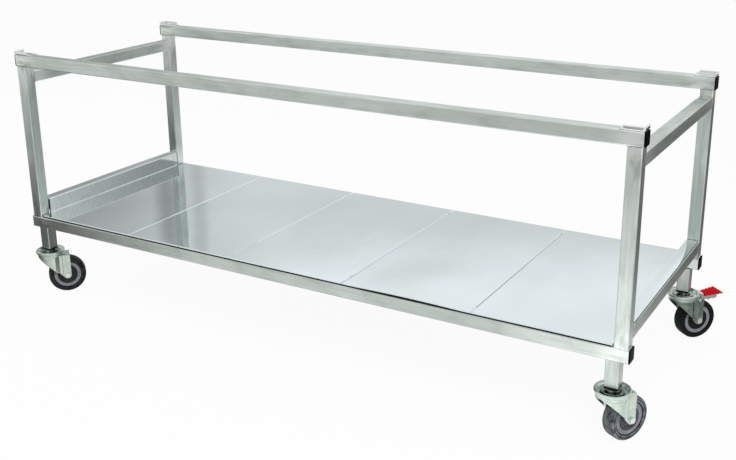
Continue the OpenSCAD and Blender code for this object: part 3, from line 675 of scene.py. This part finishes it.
def quarter(steps):
    """Sines and cosines of so many even steps over a quarter turn."""
    turn = np.linspace(0, np.pi / 2, steps)
    return np.sin(turn), np.cos(turn)


def rounded_rectangle(width, depth, radius):
    """Anticlockwise rounded rectangle round the origin."""
    x, y = width / 2, depth / 2
    return rounded([(-x, -y, radius), (x, -y, radius), (x, y, radius), (-x, y, radius)])


print("points of a rounded square:", len(rounded_rectangle(2, 2, 0.5)))

# %% Turned shapes, and plates with soft edges
FINE_TURNS = 96


def lathe(profile, turns=72):
    """A closed profile of (radius, height) turned once round Z: x = r cos t, y = r sin t."""
    radius, height = profile.T
    angle = np.arange(turns)[:, None] / turns * 2 * np.pi
    return grid(radius * np.cos(angle), radius * np.sin(angle), height, True, True)


def shrunk(outline, amount):
    """An outline moved inwards: a point goes along the mean of its two edge normals over their
    cosine."""
    edge = np.roll(outline, -1, 0) - outline
    inward = np.stack([-edge[:, 1], edge[:, 0]], -1) / length(edge)
    mean = inward + np.roll(inward, 1, 0)
    return outline + amount * mean * (2 / np.maximum((mean * mean).sum(1), 0.4))[:, None]


def plate(outline, low, high, edge):
    """An anticlockwise outline between two heights, its edges rounded by quarter circles."""
    sine, cosine = quarter(4)
    insets = np.concatenate([edge * (1 - sine), edge * (1 - cosine)])
    heights = np.concatenate([low + edge * (1 - cosine), high - edge * (1 - sine)])
    rings = np.array([shrunk(outline, inset) for inset in insets])
    shell = grid(rings[..., 0], rings[..., 1], heights[:, None], False, True)
    return capped(shell, len(outline))


print("faces of a square plate:", len(plate(rounded_rectangle(2, 2, 0.5), 0, 1, 0.1)[1]))

# %% Put a piece into the scene
def piece(name, shell, body, material, sharp=40, wall=0):
    """A finished object from a shell: doubles merged, faces outwards, smooth but for edges over
    the sharp angle. A wall gives an open sheet its thickness in millimetres, half on each side.
    Normals are weighted by area, so that a flat stays flat right up to its fold."""
    mesh = bpy.data.meshes.new(name)
    mesh.from_pydata(shell[0].tolist(), [], shell[1])
    form = bmesh.new()
    form.from_mesh(mesh)
    bmesh.ops.remove_doubles(form, verts=form.verts, dist=1e-6)
    bmesh.ops.recalc_face_normals(form, faces=form.faces)
    form.to_mesh(mesh)
    form.free()
    mesh.polygons.foreach_set("use_smooth", np.ones(len(mesh.polygons), bool))
    mesh.set_sharp_from_angle(angle=math.radians(sharp))
    mesh.materials.append(material)
    thing = enter(bpy.data.objects.new(name, mesh))
    if wall:
        solid = thing.modifiers.new("wall", "SOLIDIFY")
        solid.thickness, solid.offset, solid.use_even_offset = wall * MM, 0, True
    shading = thing.modifiers.new("shading", "WEIGHTED_NORMAL")
    shading.weight, shading.keep_sharp = 90, True
    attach(thing, body)
    return thing


def own_points(thing, place):
    """Rows x, y and z of a piece's points in its own frame, given by that frame's matrix."""
    flat = np.empty(len(thing.data.vertices) * 3)
    thing.data.vertices.foreach_get("co", flat)
    inverse = np.linalg.inv(place)
    return (flat.reshape(-1, 3) @ inverse[:3, :3].T + inverse[:3, 3]).T


def mark(thing, name, values):
    """Gives each point of a piece a number that its finish can read."""
    layer = thing.data.attributes.new(name, "FLOAT", "POINT")
    layer.data.foreach_set("value", np.asarray(values, np.float32))


print("helpers for pieces ready")

# %% [markdown]
# ## Wheels
# A tyre of soft rubber is moulded round a plastic core, and two dark discs keep thread out of the
# bearing. All are turned shapes, so each is one profile with rounded corners, turned round the
# axle. The tread carries shallow rings, and a sidewall has a groove and a step down to the rim.

# %% Profiles of the wheel
TREAD_R, TREAD_HALF = 49.9, 9.0
RING_STEP, RING_HALF, RING_DEPTH = 4.5, 0.35, 0.28


def both_sides(half, *middle):
    """A line's first half, what comes between, and the first half mirrored and run backwards."""
    return np.concatenate([half, *middle, (half * [1, -1])[::-1]])


def tyre_profile():
    """Bore, step down to the rim, groove, round shoulder, and a tread with fine rings. Its crown is
    0.1 mm times 1 - s^2, where s is 0 at the middle of the tread and 1 at its edge."""
    side = rounded([(36, 12.4, 0), (36, 14, 0.3), (38.2, 14, 0.5), (38.8, 15.9, 0.5),
                    (41.4, 16, 0.3), (42.2, 15.1, 0.4), (43.8, 15.1, 0.4), (44.6, 16, 0.3),
                    (49.6, 15.4, 5.2), (TREAD_R, TREAD_HALF, 0)], 7, closed=False)
    across = np.linspace(TREAD_HALF, 0, 46)[1:-1]
    crown = TREAD_R + 0.1 * (1 - (across / TREAD_HALF) ** 2)
    rings = RING_DEPTH * (np.abs(across % RING_STEP - RING_STEP / 2) < RING_HALF)
    return both_sides(np.concatenate([side, np.column_stack([crown - rings, across])]))


def core_profile():
    """Hub over the sleeve, thin disc and rim band, with rounded lips and a ring on the band."""
    return both_sides(rounded([
        (6.05, 18, 0.4), (11, 18, 0.6), (11, 4, 1.2), (27, 4, 1.2), (27, 13.6, 0.5),
        (28.2, 14, 0.4), (30.4, 14, 0.3), (31, 13.2, 0.2), (32, 13.2, 0.2), (32.6, 14, 0.3),
        (35.2, 14, 0.5), (36, 13.2, 0.3), (36, 0, 0)], 5, closed=False)[:-1])


def guard_profile(side):
    """A thin disc with a lip at the hub, a ring groove and a raised rim; side is 1 or -1."""
    return [1, side] * rounded([
        (11.05, 12.2, 0.2), (26.2, 12.2, 0.2), (26.2, 14.6, 0.5), (24.2, 14.6, 0.4),
        (23.6, 13.9, 0.3), (20.4, 13.9, 0.3), (19.8, 13.3, 0.3), (17.6, 13.3, 0.3),
        (17, 13.9, 0.3), (13.6, 14, 0.3), (13, 14.6, 0.4), (11.05, 14.6, 0.4)], 4)


print("points in the tyre's profile:", len(tyre_profile()))

# %% Turn the wheels
TYRE, CORE = lathe(tyre_profile(), FINE_TURNS), lathe(core_profile(), FINE_TURNS)
DISCS = joined(*[lathe(guard_profile(side), FINE_TURNS) for side in (1, -1)])
for corner in CORNERS:
    place, body = axle_frame(corner), "wheel_" + corner
    tyre = piece("tyre_tread_" + corner, moved(TYRE, place), body, TREADS[corner])
    mark(tyre, "radius", np.hypot(*own_points(tyre, place)[:2]) / WHEEL_R)
    core = piece("wheel_hub_" + corner, moved(CORE, place), body, CORE_GREY)
    guard = piece("guard_discs_" + corner, moved(DISCS, place), body,
                  GUARDS[corner])
    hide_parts("tyre_" + corner)
    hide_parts("wheel_core_" + corner)
    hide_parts("thread_guards_" + corner)
print("wheels turned, faces in a tyre:", len(tyre.data.polygons))

# %% [markdown]
# ## Swivel forks
# The fork is two pressings of thick sheet. The head is a round dish that hides the ball race, its
# edge rolled into a fat bead. Under it a skirt runs round the front and carries on as two flat
# cheeks that hold the axle, with a crease where round turns flat. Seen from the side they are cut
# on a slope, from the front of the skirt to a round tip at the axle. So skirt and cheeks are one
# ruled sheet: a line in plan, dropped from the web to that slope.

# %% Plan and edge of the fork
WEB, SHEET = 110.2, 2.5
CHEEK, SKIRT = 21.0 - SHEET / 2, 34.0 - SHEET / 2
WEB_START, CREASE = 28.2, 18.3
AXLE, FRONT = np.array([TRAIL, WHEEL_R]), np.array([-33, WEB - 0.5])
TIP_R, TIP_START = 10.0, 32.0


def fork_front():
    """Line in plan from one cheek round the front to the other: straight, crease, facet, arc."""
    angle = np.radians(np.linspace(75, 285, 61))
    arc = SKIRT * np.column_stack([np.cos(angle), np.sin(angle)])
    straight = np.linspace([WEB_START, CHEEK], [CREASE, CHEEK], 8)
    facet = np.linspace([CREASE, CHEEK], arc[0], 8)[1:-1]
    half = np.concatenate([straight, facet])
    return both_sides(half, arc)


def lower_edge(along):
    """Height of the cheeks' lower edge: a line that touches the tip's circle, then the circle."""
    reach = np.linalg.norm(AXLE - FRONT)
    slope = math.atan2(*(AXLE - FRONT)[::-1]) - math.asin(TIP_R / reach)
    touch = FRONT[0] + math.sqrt(reach ** 2 - TIP_R ** 2) * math.cos(slope)
    line = FRONT[1] + (along - FRONT[0]) * math.tan(slope)
    circle = AXLE[1] - np.sqrt(np.maximum(TIP_R ** 2 - (along - AXLE[0]) ** 2, 0))
    return np.where(along < touch, line, circle)


def cheek_columns():
    """Places along the cheeks behind the skirt: even, then crowded towards the round end."""
    angle = np.linspace(math.asin((TIP_START - AXLE[0]) / TIP_R), math.pi / 2, 24)
    straight = np.linspace(WEB_START, TIP_START, 6)[:-1]
    return np.concatenate([straight, AXLE[0] + TIP_R * np.sin(angle)])


print("points in the plan of a fork:", len(fork_front()))

# %% Sheets of the fork
def ruled(x, y, top, rows=14):
    """Upright sheet over a line in plan, in rows from the lower edge to the top."""
    low = lower_edge(x)
    return grid(x, y, low + (top - low) * np.linspace(0, 1, rows)[:, None])


def fork_channel(bend=3.0):
    """Cheeks and web behind the skirt: up one cheek, round a bend, across the web and down."""
    along, top = cheek_columns(), WEB - SHEET / 2
    sine, cosine = np.array(quarter(7))[:, 1:, None]
    flat = ruled(along, CHEEK, top - bend)[0].reshape(14, -1, 3)
    side = np.vstack([flat[..., 1], CHEEK - bend + bend * cosine + 0 * along])
    height = np.vstack([flat[..., 2], top - bend + bend * sine + 0 * along])
    return grid(along, np.vstack([side, -side[::-1]]), np.vstack([height, height[::-1]]))


def fork_head():
    """Dish with its rolled bead and the short skirt under it, as one closed turned profile."""
    return lathe(rounded([
        (12.05, 115.7, 0.3), (12.05, 118.2, 0.6), (30.9, 118.2, 1.6), (34.1, 122.4, 0.4),
        (34.1, 125.2, 2.15), (38.5, 125.2, 2.15), (38.5, 118.2, 2.1), (35.8, 118.2, 0.5),
        (34, 115.7, 1.2), (34, 110.2, 0.2), (31.5, 110.2, 0.2), (31.5, 115.7, 1)], 7), FINE_TURNS)


print("points in the head of a fork:", len(fork_head()[0]))

# %% Press the forks
DISH_SHADE_REACH, DISH_FLOOR, CREASE_REACH, CREASE_TOP = 24, 118, 1.5, 112
for corner in CORNERS:
    place, body = upright_frame(corner), "castor_" + corner
    rear = [fork_channel()]
    if corner in BRAKED:
        rear = [ruled(cheek_columns(), side * CHEEK, WEB - 1, 16) for side in (1, -1)]
    shell = moved(joined(ruled(*fork_front().T, WEB), *rear), place)
    cheeks = piece("fork_cheeks_" + corner, shell, body, FORK_ZINC[corner],
                   30, SHEET)
    head = piece("fork_head_" + corner, moved(fork_head(), place), body,
                 HEAD_ZINC[corner], 50)
    x, y, z = own_points(head, place)
    # Painted shade in the dish of the head, round the leg.
    mark(head, "painted_shade", (np.hypot(x, y) < DISH_SHADE_REACH) & (z > DISH_FLOOR))
    x, y, z = own_points(cheeks, place)
    # Painted shade along the crease of the fork.
    mark(cheeks, "painted_shade", (np.abs(x - CREASE) < CREASE_REACH) & (z < CREASE_TOP))
    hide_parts("fork_" + corner)
    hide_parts("fork_" + corner)
print("forks pressed, faces in the cheeks:", len(cheeks.data.polygons))

# %% [markdown]
# ## Bolts and bearings
# Hexagon heads come from one formula: the radius at an angle is the flat's distance over the cosine
# of the angle to the nearest flat, and a chamfer takes the smaller of that and a cone. The bearing
# between leg and fork is a stack of turned discs, which is enough, because only its rims show.

# %% Hexagons and turned stacks
NUT_R = 7.5


def hexagon(low, high, corner_radius=NUT_R, chamfer=0.8):
    """Six-sided head from low to high; past the chamfer's height the cone cuts the corners."""
    count = 72
    angle = np.arange(count)[:, None] / count * 2 * np.pi
    flat = corner_radius * math.cos(math.pi / 6)
    hexed = flat / np.cos((angle + np.pi / 6) % (np.pi / 3) - np.pi / 6)
    step = np.array([0, 0.35, 0.7, 1])
    height = np.concatenate([[low], high - chamfer * (1 - step), [high]])
    cone = np.concatenate([[corner_radius], corner_radius - chamfer * 1.7 * step, [1e-4]])
    radius, wide = np.minimum(hexed, cone), len(height)
    points, faces = grid(np.cos(angle) * radius, np.sin(angle) * radius, height, True)
    faces += [[len(points), i * wide, (i + 1) % count * wide] for i in range(count)]
    return np.vstack([points, low * Z]), faces


def disc_stack(*rows):
    """Turned solid from rounded corners that start and end near the axis."""
    return lathe(rounded(rows, 5))


print("points in a hexagon head:", len(hexagon(0, 4)[0]))

# %% Make the bolts and the bearings
RIVET = (37.0, 0.0, 105.5)
BOLT = joined(hexagon(21, 25.5), moved(hexagon(21, 27), np.diag([1, -1, -1, 1])),
              disc_stack((0.01, -28, 0), (3.6, -28, .2), (4, -27.4, .2), (4, 21, 0), (0.01, 21, 0)),
              disc_stack((4.1, -18.5, .2), (6, -18.5, .4), (6, 18.5, .4), (4.1, 18.5, .2)))
PIN = disc_stack((0.01, -22.5, 0), (2.6, -22.5, .6), (4, -21.9, .3), (4, -21, .1), (2.5, -21, 0),
                 (2.5, 21, 0), (4, 21, .1), (4, 21.9, .3), (2.6, 22.5, .6), (0.01, 22.5, 0))
RACE = joined(disc_stack((5.2, 120.8, .2), (26, 120.8, .9), (26, 123.3, .9), (15, 123.3, .8),
                         (14, 124.4, .8), (14, 128, .3), (5.2, 128, .2)),
              disc_stack((5.2, 113.5, .2), (12, 113.5, .3), (12, 121, 0), (5.2, 121, 0)),
              disc_stack((5.2, 113.1, .2), (18, 113.1, .8), (18, 115.4, .5), (5.2, 115.4, .2)))
for corner in CORNERS:
    body, shell = "castor_" + corner, moved(BOLT, axle_frame(corner))
    axle = piece("axle_bolt_" + corner, shell, body, ZINC)
    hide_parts("axle_" + corner)
    if corner in BRAKED:
        shell = moved(PIN, upright_frame(corner) @ place_of(X, -Z, Y, RIVET, 1))
        pin = piece("brake_rivet_" + corner, shell, body, ZINC)
        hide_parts("brake_pin_" + corner)

shell = joined(*[moved(RACE, upright_frame(corner)) for corner in CORNERS])
races = piece("swivel_bearing", shell, "frame", RACE_ZINC)
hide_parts("swivel_races")
print("bolts and bearings made, points in a bolt:", len(BOLT[0]))

# %% [markdown]
# ## Leg plugs and end caps
# Both are black mouldings pushed into the ends of the tube. Only their flanges show, and a mould
# leaves every edge of a flange softly rounded, which is what catches the light. So each is two
# plates with soft edges: the flange, and the grip inside the tube.

# %% Mould the plugs and the caps
FLANGE_OUTLINE = rounded_rectangle(TUBE / MM, TUBE / MM, 2.5)
GRIP_OUTLINE = rounded_rectangle(26.8, 26.8, 1.2)
# A plate is its outline, its lower and upper height and the radius of its edges.
PLUG = joined(plate(FLANGE_OUTLINE, 128, 133, 0.8), plate(GRIP_OUTLINE, 132.9, 173, 0.5))
CAP = joined(plate(FLANGE_OUTLINE, 0, 3, 0.9), plate(GRIP_OUTLINE, -14, 0.1, 0.4))
shells = [moved(PLUG, place_of(X, Y, Z, upright_frame(corner)[:3, 3])) for corner in CORNERS]
plugs = piece("leg_plugs", joined(*shells), "frame", PLUG_BLACK)
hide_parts("castor_expanders")

PAIR = (-1, 1)
middle_y = half_depth - TUBE / 2
for side, name in zip(PAIR, ("left", "right")):
    places = [place_of(Y, Z, side * X, (side * half_length, sy * middle_y, low + TUBE / 2))
              for sy in PAIR for low in (rail_low[2], top_low[2])]
    shell = joined(*[moved(CAP, place) for place in places])
    cap = piece("tube_caps_" + name, shell, "frame", CAP_BLACK)
    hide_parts("end_caps_" + name)
print("plugs and caps:", len(plugs.data.polygons), len(cap.data.polygons))

# %% [markdown]
# ## Corner brackets
# Each bracket is one piece of sheet folded up on two sides, so that the unit above can't slide off.
# A fold is a quarter circle between two flats. The folds don't meet, as the sheet is relieved at
# the corner, and the free end of the long upstand is cut on a slope. The middle of the sheet is
# worked out once, and a modifier gives it its thickness on both sides.

# %% Fold the brackets
BRACKET_SHEET = 2.0


def bracket_sheet():
    """Front right bracket as the middle of its sheet: a long folded strip, the end fold and a tab
    in the corner. Its fold has a radius of 2 mm."""
    across = np.array([30.0, 25.0, 19.0, 13.0, 8.0, 3.0])
    sine, cosine = 2 * np.array(quarter(6))[:, 1:]
    side = np.concatenate([across, 3 - sine, [1.0, 1.0, 1.0]])[:, None]
    height = np.concatenate([np.full(6, 1.0), 3 - cosine, [5.5, 7.8, 10.0]])[:, None]
    left = np.interp(height, [1.0, 3.0, 10.0], [-51.0, -46.4, -42.6])
    right = np.where(side > 2.9, -3.0, -2.0)
    strip = grid(left + (right - left) * np.linspace(0, 1, 14), side, height)
    fold_x = np.concatenate([[-3.0], sine - 3, [-1.0, -1.0]])[:, None]
    fold_z = np.concatenate([[1.0], 3 - cosine, [6.5, 10.0]])[:, None]
    tab = grid(-1.0, np.array([3.0, 1.5, 0.0]), np.array([[3.0], [6.5], [10.0]]))
    return joined(strip, grid(fold_x, across, fold_z), tab)


for node in [name for name in frame["nodes"] if name.startswith("corner_bracket_")]:
    low, high = box(node)
    sx, sy = np.sign(low[0] + high[0]), np.sign(low[1] + high[1])
    origin = (high[0] if sx > 0 else low[0], high[1] if sy > 0 else low[1], top_high[2])
    shell = moved(bracket_sheet(), place_of(sx * X, -sy * Y, Z, origin))
    folded = piece(node.replace("corner", "folded"), shell, "frame",
                   BRACKET_FINISH, 30, BRACKET_SHEET)
    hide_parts(node)
print("brackets folded:", len(folded.data.polygons), "faces each")

# %% [markdown]
# ## Weld beads
# The tubes are joined by TIG welding. Where two faces are flush the bead has been ground away, so
# beads are left only in the inner corners. A bead is a fillet that swells a little with every drop
# of filler, and tapers off where the welder starts and stops.

# %% Lay the beads
BEAD_LENGTH, BEAD_RADIUS, DROP = 26.0, 1.7, 2.1


def bead():
    """Fillet along X in the corner between +Y and +Z: its radius is the given one times a tapering
    factor, the fourth root of 1 - s^8, and times a ripple of 10 % with each drop."""
    share = np.linspace(-1, 1, 73)[:, None]
    sine, cosine = quarter(7)
    place = share * BEAD_LENGTH / 2
    ripple = 1 + 0.10 * np.cos(2 * np.pi * (place - 0.9 * sine ** 2) / DROP)
    size = BEAD_RADIUS * ripple * (1 - 0.94 * share ** 8) ** 0.25
    root = np.full((73, 1), -0.3)
    y = np.hstack([size * cosine ** 1.2, root])
    z = np.hstack([size * sine ** 1.2, root])
    return capped(grid(place, y, z, False, True), 8)


def corner_line(centre, away, other):
    """Frame of a bead: its centre, and the two directions in which its corner opens."""
    return place_of(np.abs(np.cross(away, other)), away, other, centre)


leg_low, leg_high = box("leg_front_right")
LEG_SHIFT = 0.002
lines = [corner_line((post_x - TUBE / 2, middle_y, top_low[2]), -X, -Z),
         corner_line((leg_low[0], middle_y - LEG_SHIFT, rail_low[2]), -X, -Z),
         corner_line((leg_high[0], middle_y - LEG_SHIFT, rail_low[2]), X, -Z)]
for node in ("top_cross_rail_right", "lower_cross_rail_right"):
    low, high = box(node)
    lines += [corner_line((post_x, high[1], low[2]), -Y, -Z),
              corner_line((post_x, high[1], high[2]), -Y, Z)]
shells = [moved(bead(), np.diag([sx, sy, 1, 1]) @ line)
          for line in lines for sx in PAIR for sy in PAIR]
welds = piece("weld_beads", joined(*shells), "frame", WELD_METAL, 50)
print("beads:", len(shells), "faces:", len(welds.data.polygons))

# %% [markdown]
# ## Shelf panels
# The shelf is five trays of thin bright sheet, dropped in one beside the other. Each has a short
# lip over the rail at the front and the rear, and flanges folded down between the rails. The two
# end trays are notched round the posts, turned up against the cross rail and lapped over its top.
# Folded edges make it read as sheet: two neighbours meet in a fine V-shaped groove. Thin sheet is
# never quite flat, so each lip stands a little off its rail, most in the middle of the tray. The
# shadow in that gap is painted: a black strip behind the lip shows as a fine dark line. Black
# strips of the same rubber are painted shadow under the laps too, and black blocks fill the four
# corners beside the posts.

# %% Section of a tray
GAUGE, BEND, LIP_BEND, FLANGE = 1.2, 1.9, 1.3, 20.0
HALF = GAUGE / 2
low, high = box("shelf_panel_3")
SHELF, LIP = high[2] / MM, high[1] / MM - HALF
MIDDLE = SHELF - HALF
RAIL_TOP = rail_high[2] / MM
UPSTAND = box("lower_cross_rail_right")[0][0] / MM - 0.5 - HALF
LIP_GAP, LAP_RISE, NOTCH = 0.7, 0.9, 2.4
BOWS, CROWNS, CROWN_REACH = (0.9, 1.4, 1.3, 2.2, 1.5), (0, 0.3, 0.2, 1.9, 0.3), 280
REACH, END_REACH, LEAST_UPSTAND = 264, 262, 5


def across_section(left, right, lap):
    """Section along X of a tray: fold down, flat, then a fold down or, with a lap (its end and its
    height), an upstand against the cross rail and the lap over it."""
    foot = MIDDLE - FLANGE + HALF
    last = [(right, foot, 0)] if lap is None else [(right, lap[1], BEND), (*lap, 0)]
    rows = [(left, foot, 0), (left, MIDDLE, BEND), (right, MIDDLE, BEND)]
    return rounded(rows + last, closed=False)


def spread(section, most=24):
    """A section with its long straights split, so that no piece is longer than most."""
    parts = np.ceil(length(np.diff(section, axis=0))[:, 0] / most).astype(int)
    place = np.repeat(np.arange(len(parts)), parts)
    inside = np.arange(parts.sum()) - np.repeat(np.cumsum(parts) - parts, parts)
    share = (inside / parts[place])[:, None]
    points = section[place] * (1 - share) + section[place + 1] * share
    return np.concatenate([points, section[-1:]])


print("shelf at", round(SHELF, 2), "mm, upstand at", round(UPSTAND, 2), "mm")

# %% Fold the trays
def tray(left, right, reach, bow, crown=0, lap=None, notch=0):
    """Tray as the middle of its sheet: reach is half its flanges' width, notch is how much shorter
    the lips are at the right. A lip ends above its rail by the gap plus the bow times 1 - s^4,
    where s runs from -1 to 1 along the tray. The crown lifts the sheet by (1 - s^2)^2 times a
    smooth rise over its reach in front."""
    centre = spread(across_section(left + HALF, right - HALF if lap is None else right, lap))
    shells = [grid(centre[:, 0], np.linspace(-reach, reach, 25)[:, None], centre[:, 1])]
    flat = centre[np.abs(centre[:, 1] - MIDDLE) < 1e-6, 0]
    flat = flat[(flat > left + BEND) & (flat < right - notch - 0.2)]
    columns = np.concatenate([[left], flat, [right - notch]])
    lip = [(LIP, MIDDLE - 2, 0), (LIP, MIDDLE, LIP_BEND), (reach, MIDDLE, 0)]
    out, up = np.split(rounded(lip, closed=False), 2, 1)
    across = 2 * (columns - left) / (right - notch - left) - 1
    foot = RAIL_TOP + LIP_GAP + bow * (1 - across ** 4)
    drop = np.clip((MIDDLE - LIP_BEND - up) / (2 - LIP_BEND), 0, 1)
    shells += [grid(columns, side * out, up * (1 - drop) + foot * drop) for side in PAIR]
    points, faces = joined(*shells)
    across = np.clip(2 * (points[:, 0] - left) / (right - left) - 1, -1, 1)
    front = np.clip((-points[:, 1] - LIP + CROWN_REACH) / CROWN_REACH, 0, 1)
    points[:, 2] += crown * (1 - across ** 2) ** 2 * front ** 2 * (3 - 2 * front)
    return points, faces


for number, (bow, crown) in enumerate(zip(BOWS, CROWNS), 1):
    node = "shelf_panel_%d" % number
    low, high = box(node)
    left, right = low[0] / MM, high[0] / MM
    lap = [max(-left, right), high[2] / MM - HALF + LAP_RISE]
    side, shell = 1, tray(left, right, REACH, bow, crown)
    if lap[1] - MIDDLE > LEAST_UPSTAND:
        side = np.sign(left)
        shell = tray(min(abs(left), abs(right)), UPSTAND, END_REACH, bow, crown, lap, NOTCH)
    shell = moved(shell, place_of(side * X, Y, Z, (0, 0, 0)))
    folded = piece("folded_tray_%d" % number, shell, "frame", SHELF_FINISH,
                   30, GAUGE)
    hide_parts(node)
print("trays folded, faces in the last:", len(folded.data.polygons))

# %% Lay the black strips of painted shadow
UNDER_LIP = [(1, -0.1, 0.2), (1, 1.6, 0.3), (-1.2, 4.2, 0.4), (-7, 4.2, 0.4), (-7, -0.1, 0.2)]
UNDER_LAP = [(0.9, -0.1, 0.2), (0.9, 0.6, 0.3), (-0.3, LAP_RISE + 0.1, 0.4),
             (-5, LAP_RISE + 0.1, 0.4), (-5, -0.1, 0.2)]


def strip(rows, reach):
    """Soft strip along X: a section of points (outwards, up) from a sheet's outer edge, carried
    along at 60 places."""
    out, up = rounded(rows, 4).T
    return capped(grid(np.linspace(-reach, reach, 60)[:, None], -out, up, False, True), len(up))


def standing(turn, edge, height):
    """Frame of a strip, turned by quarter turns about Z and put at an edge and a height."""
    cosine, sine = round(math.cos(turn * math.pi / 2)), round(math.sin(turn * math.pi / 2))
    origin = np.array([sine * edge, -cosine * edge, height]) * MM
    return place_of((cosine, sine, 0), (-sine, cosine, 0), Z, origin)


lap_edge, lap_foot = box("shelf_panel_5")[1][[0, 2]] / MM - [0, GAUGE]
laid = [moved(strip(UNDER_LIP, UPSTAND - 3), standing(turn, LIP + HALF, RAIL_TOP))
        for turn in (0, 2)]
laid += [moved(strip(UNDER_LAP, 261), standing(turn, lap_edge, lap_foot)) for turn in (1, 3)]
corner_shadow_block = plate(rounded_rectangle(1.7, 2.8, 0.5), RAIL_TOP + 0.3, lap_foot, 0.3)
shadow_block_x, shadow_block_y = (UPSTAND + 0.15) * MM, half_depth - TUBE - 1.5 * MM
laid += [moved(corner_shadow_block, place_of(X, Y, Z, (sx * shadow_block_x, sy * shadow_block_y, 0)))
         for sx in PAIR for sy in PAIR]
# Painted shadow: black strips in the gaps under the lips and laps, and black blocks by the posts.
piece("black_shadow_strips", joined(*laid), "frame", PLUG_BLACK)
print("bedding strips and corner seals:", len(laid))

# %% [markdown]
# ## Brake lever and pedal
# The lever is a channel of zinc-plated sheet: two side plates on the rivet and a top that climbs
# over the rim of the head in a hump, then runs out under the red pedal. The pedal is a moulding
# with anti-slip ribs across it and a rounded edge. Foot pressure turns both about the rivet. One
# formula gives the height of the lever's top, so the plates, the top and the pad always meet.

# %% Bend the levers
HUMP, HUMP_START, HUMP_END, SLOPE_END = 118.2, 41.0, 50.4, 53.0
PAD_START, LEVER_END = 55.0, 91.0
TILT = math.radians(4.5)
LEVER_HALF, LEVER_SHEET, PLATE_INSIDE, PLATE_OUTSIDE = 11.4, 2.0, 11, 13


def lever_top(along):
    """Height of the lever's top at a place: the hump, a short slope, the line under the pad."""
    line = WEB + (along - PAD_START) * math.tan(TILT)
    hump = np.interp(along, [HUMP_START, HUMP_END, SLOPE_END],
                     [HUMP, HUMP, WEB - 2 * math.tan(TILT)])
    return np.where(along < SLOPE_END, hump, line)


def side_plate():
    """Outline of a side plate seen from the side: round the rivet, up the hump, along the pad."""
    return rounded([(32.6, 104.4, 1.5), (35.9, 101.1, 1.5), (62, 101.8, 8),
                    (LEVER_END - 4, WEB - 9.6, 2.4), (LEVER_END, WEB - 6.6, 1.6),
                    (LEVER_END, lever_top(LEVER_END), 0.6), (SLOPE_END, WEB - 0.2, 1.2),
                    (51, HUMP, 1.4), (HUMP_START, HUMP, 1.2), (HUMP_START, 109.9, 1.4),
                    (32.6, 109.9, 4)])


def lever_strip():
    """Top of the lever between the side plates: a closed section of the sheet, carried across."""
    x = np.concatenate([np.linspace(HUMP_START, HUMP_END, 7), np.linspace(50.9, SLOPE_END, 6),
                        np.linspace(PAD_START, LEVER_END, 10)])
    z = lever_top(x)
    x, z = np.concatenate([x, x[::-1]]), np.concatenate([z, z[::-1] - LEVER_SHEET])
    count = len(x)
    points, faces = grid(x, np.linspace(-LEVER_HALF, LEVER_HALF, 5)[:, None], z, False, True)
    for first in (0, 4 * count):
        faces += [[first + i, first + i + 1, first + count - 2 - i, first + count - 1 - i]
                  for i in range(count // 2 - 1)]
    return points, faces


print("points in a lever's outline:", len(side_plate()))

# %% Mould the pedals
RIB_START, RIB_REACH, RIBS = 2.2, 44.0, 4


def pedal():
    """Pad in its own plane: a plate that widens outwards between toothed sides, its top carrying
    rounded cross ribs; the teeth and the ribs are the same wave along the pad, a cosine cut flat.
    Towards its sides the top falls as the root of 1 - s^6."""
    place = np.linspace(RIB_START, RIB_START + RIB_REACH, 89)
    share = (place - RIB_START) / RIB_REACH
    wave = np.cos(share * 2 * np.pi * RIBS)
    side = 14.9 + 5.6 * share + 1.5 * np.clip(wave * 1.3, -1, 1)
    lower = np.column_stack([place, -side])
    outline = both_sides(np.vstack([[0.2, -14], lower, [47.8, -20.4]]))
    across = np.linspace(-1, 1, 13)
    swell = (0.65 + 0.65 * np.clip(wave * 1.6, -1, 1))[:, None]
    top = 2.65 + swell * np.sqrt(np.clip(1 - across ** 6, 0, 1))
    ribbed = grid(place[:, None], (side - 0.7)[:, None] * across, top)
    return joined(plate(outline, 0.05, 2.7, 0.5), ribbed)


TILTED = place_of((math.cos(TILT), 0, math.sin(TILT)), Y, (-math.sin(TILT), 0, math.cos(TILT)),
                  (PAD_START, 0, WEB), 1)
plates = [moved(plate(side_plate(), 0, LEVER_SHEET, 0.5), place_of(X, Z, -Y, (0, y, 0), 1))
          for y in (-PLATE_INSIDE, PLATE_OUTSIDE)]
for corner in BRAKED:
    place, body = upright_frame(corner), "brake_" + corner
    shell = moved(joined(*plates, lever_strip()), place)
    lever = piece("brake_channel_" + corner, shell, body, ZINC, 35)
    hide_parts("brake_lever_" + corner)
    shell = moved(pedal(), place @ TILTED)
    pad = piece("pedal_pad_" + corner, shell, body, PEDAL_RED)
    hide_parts("brake_pedal_" + corner)
print("levers and pedals:", len(lever.data.polygons), len(pad.data.polygons))
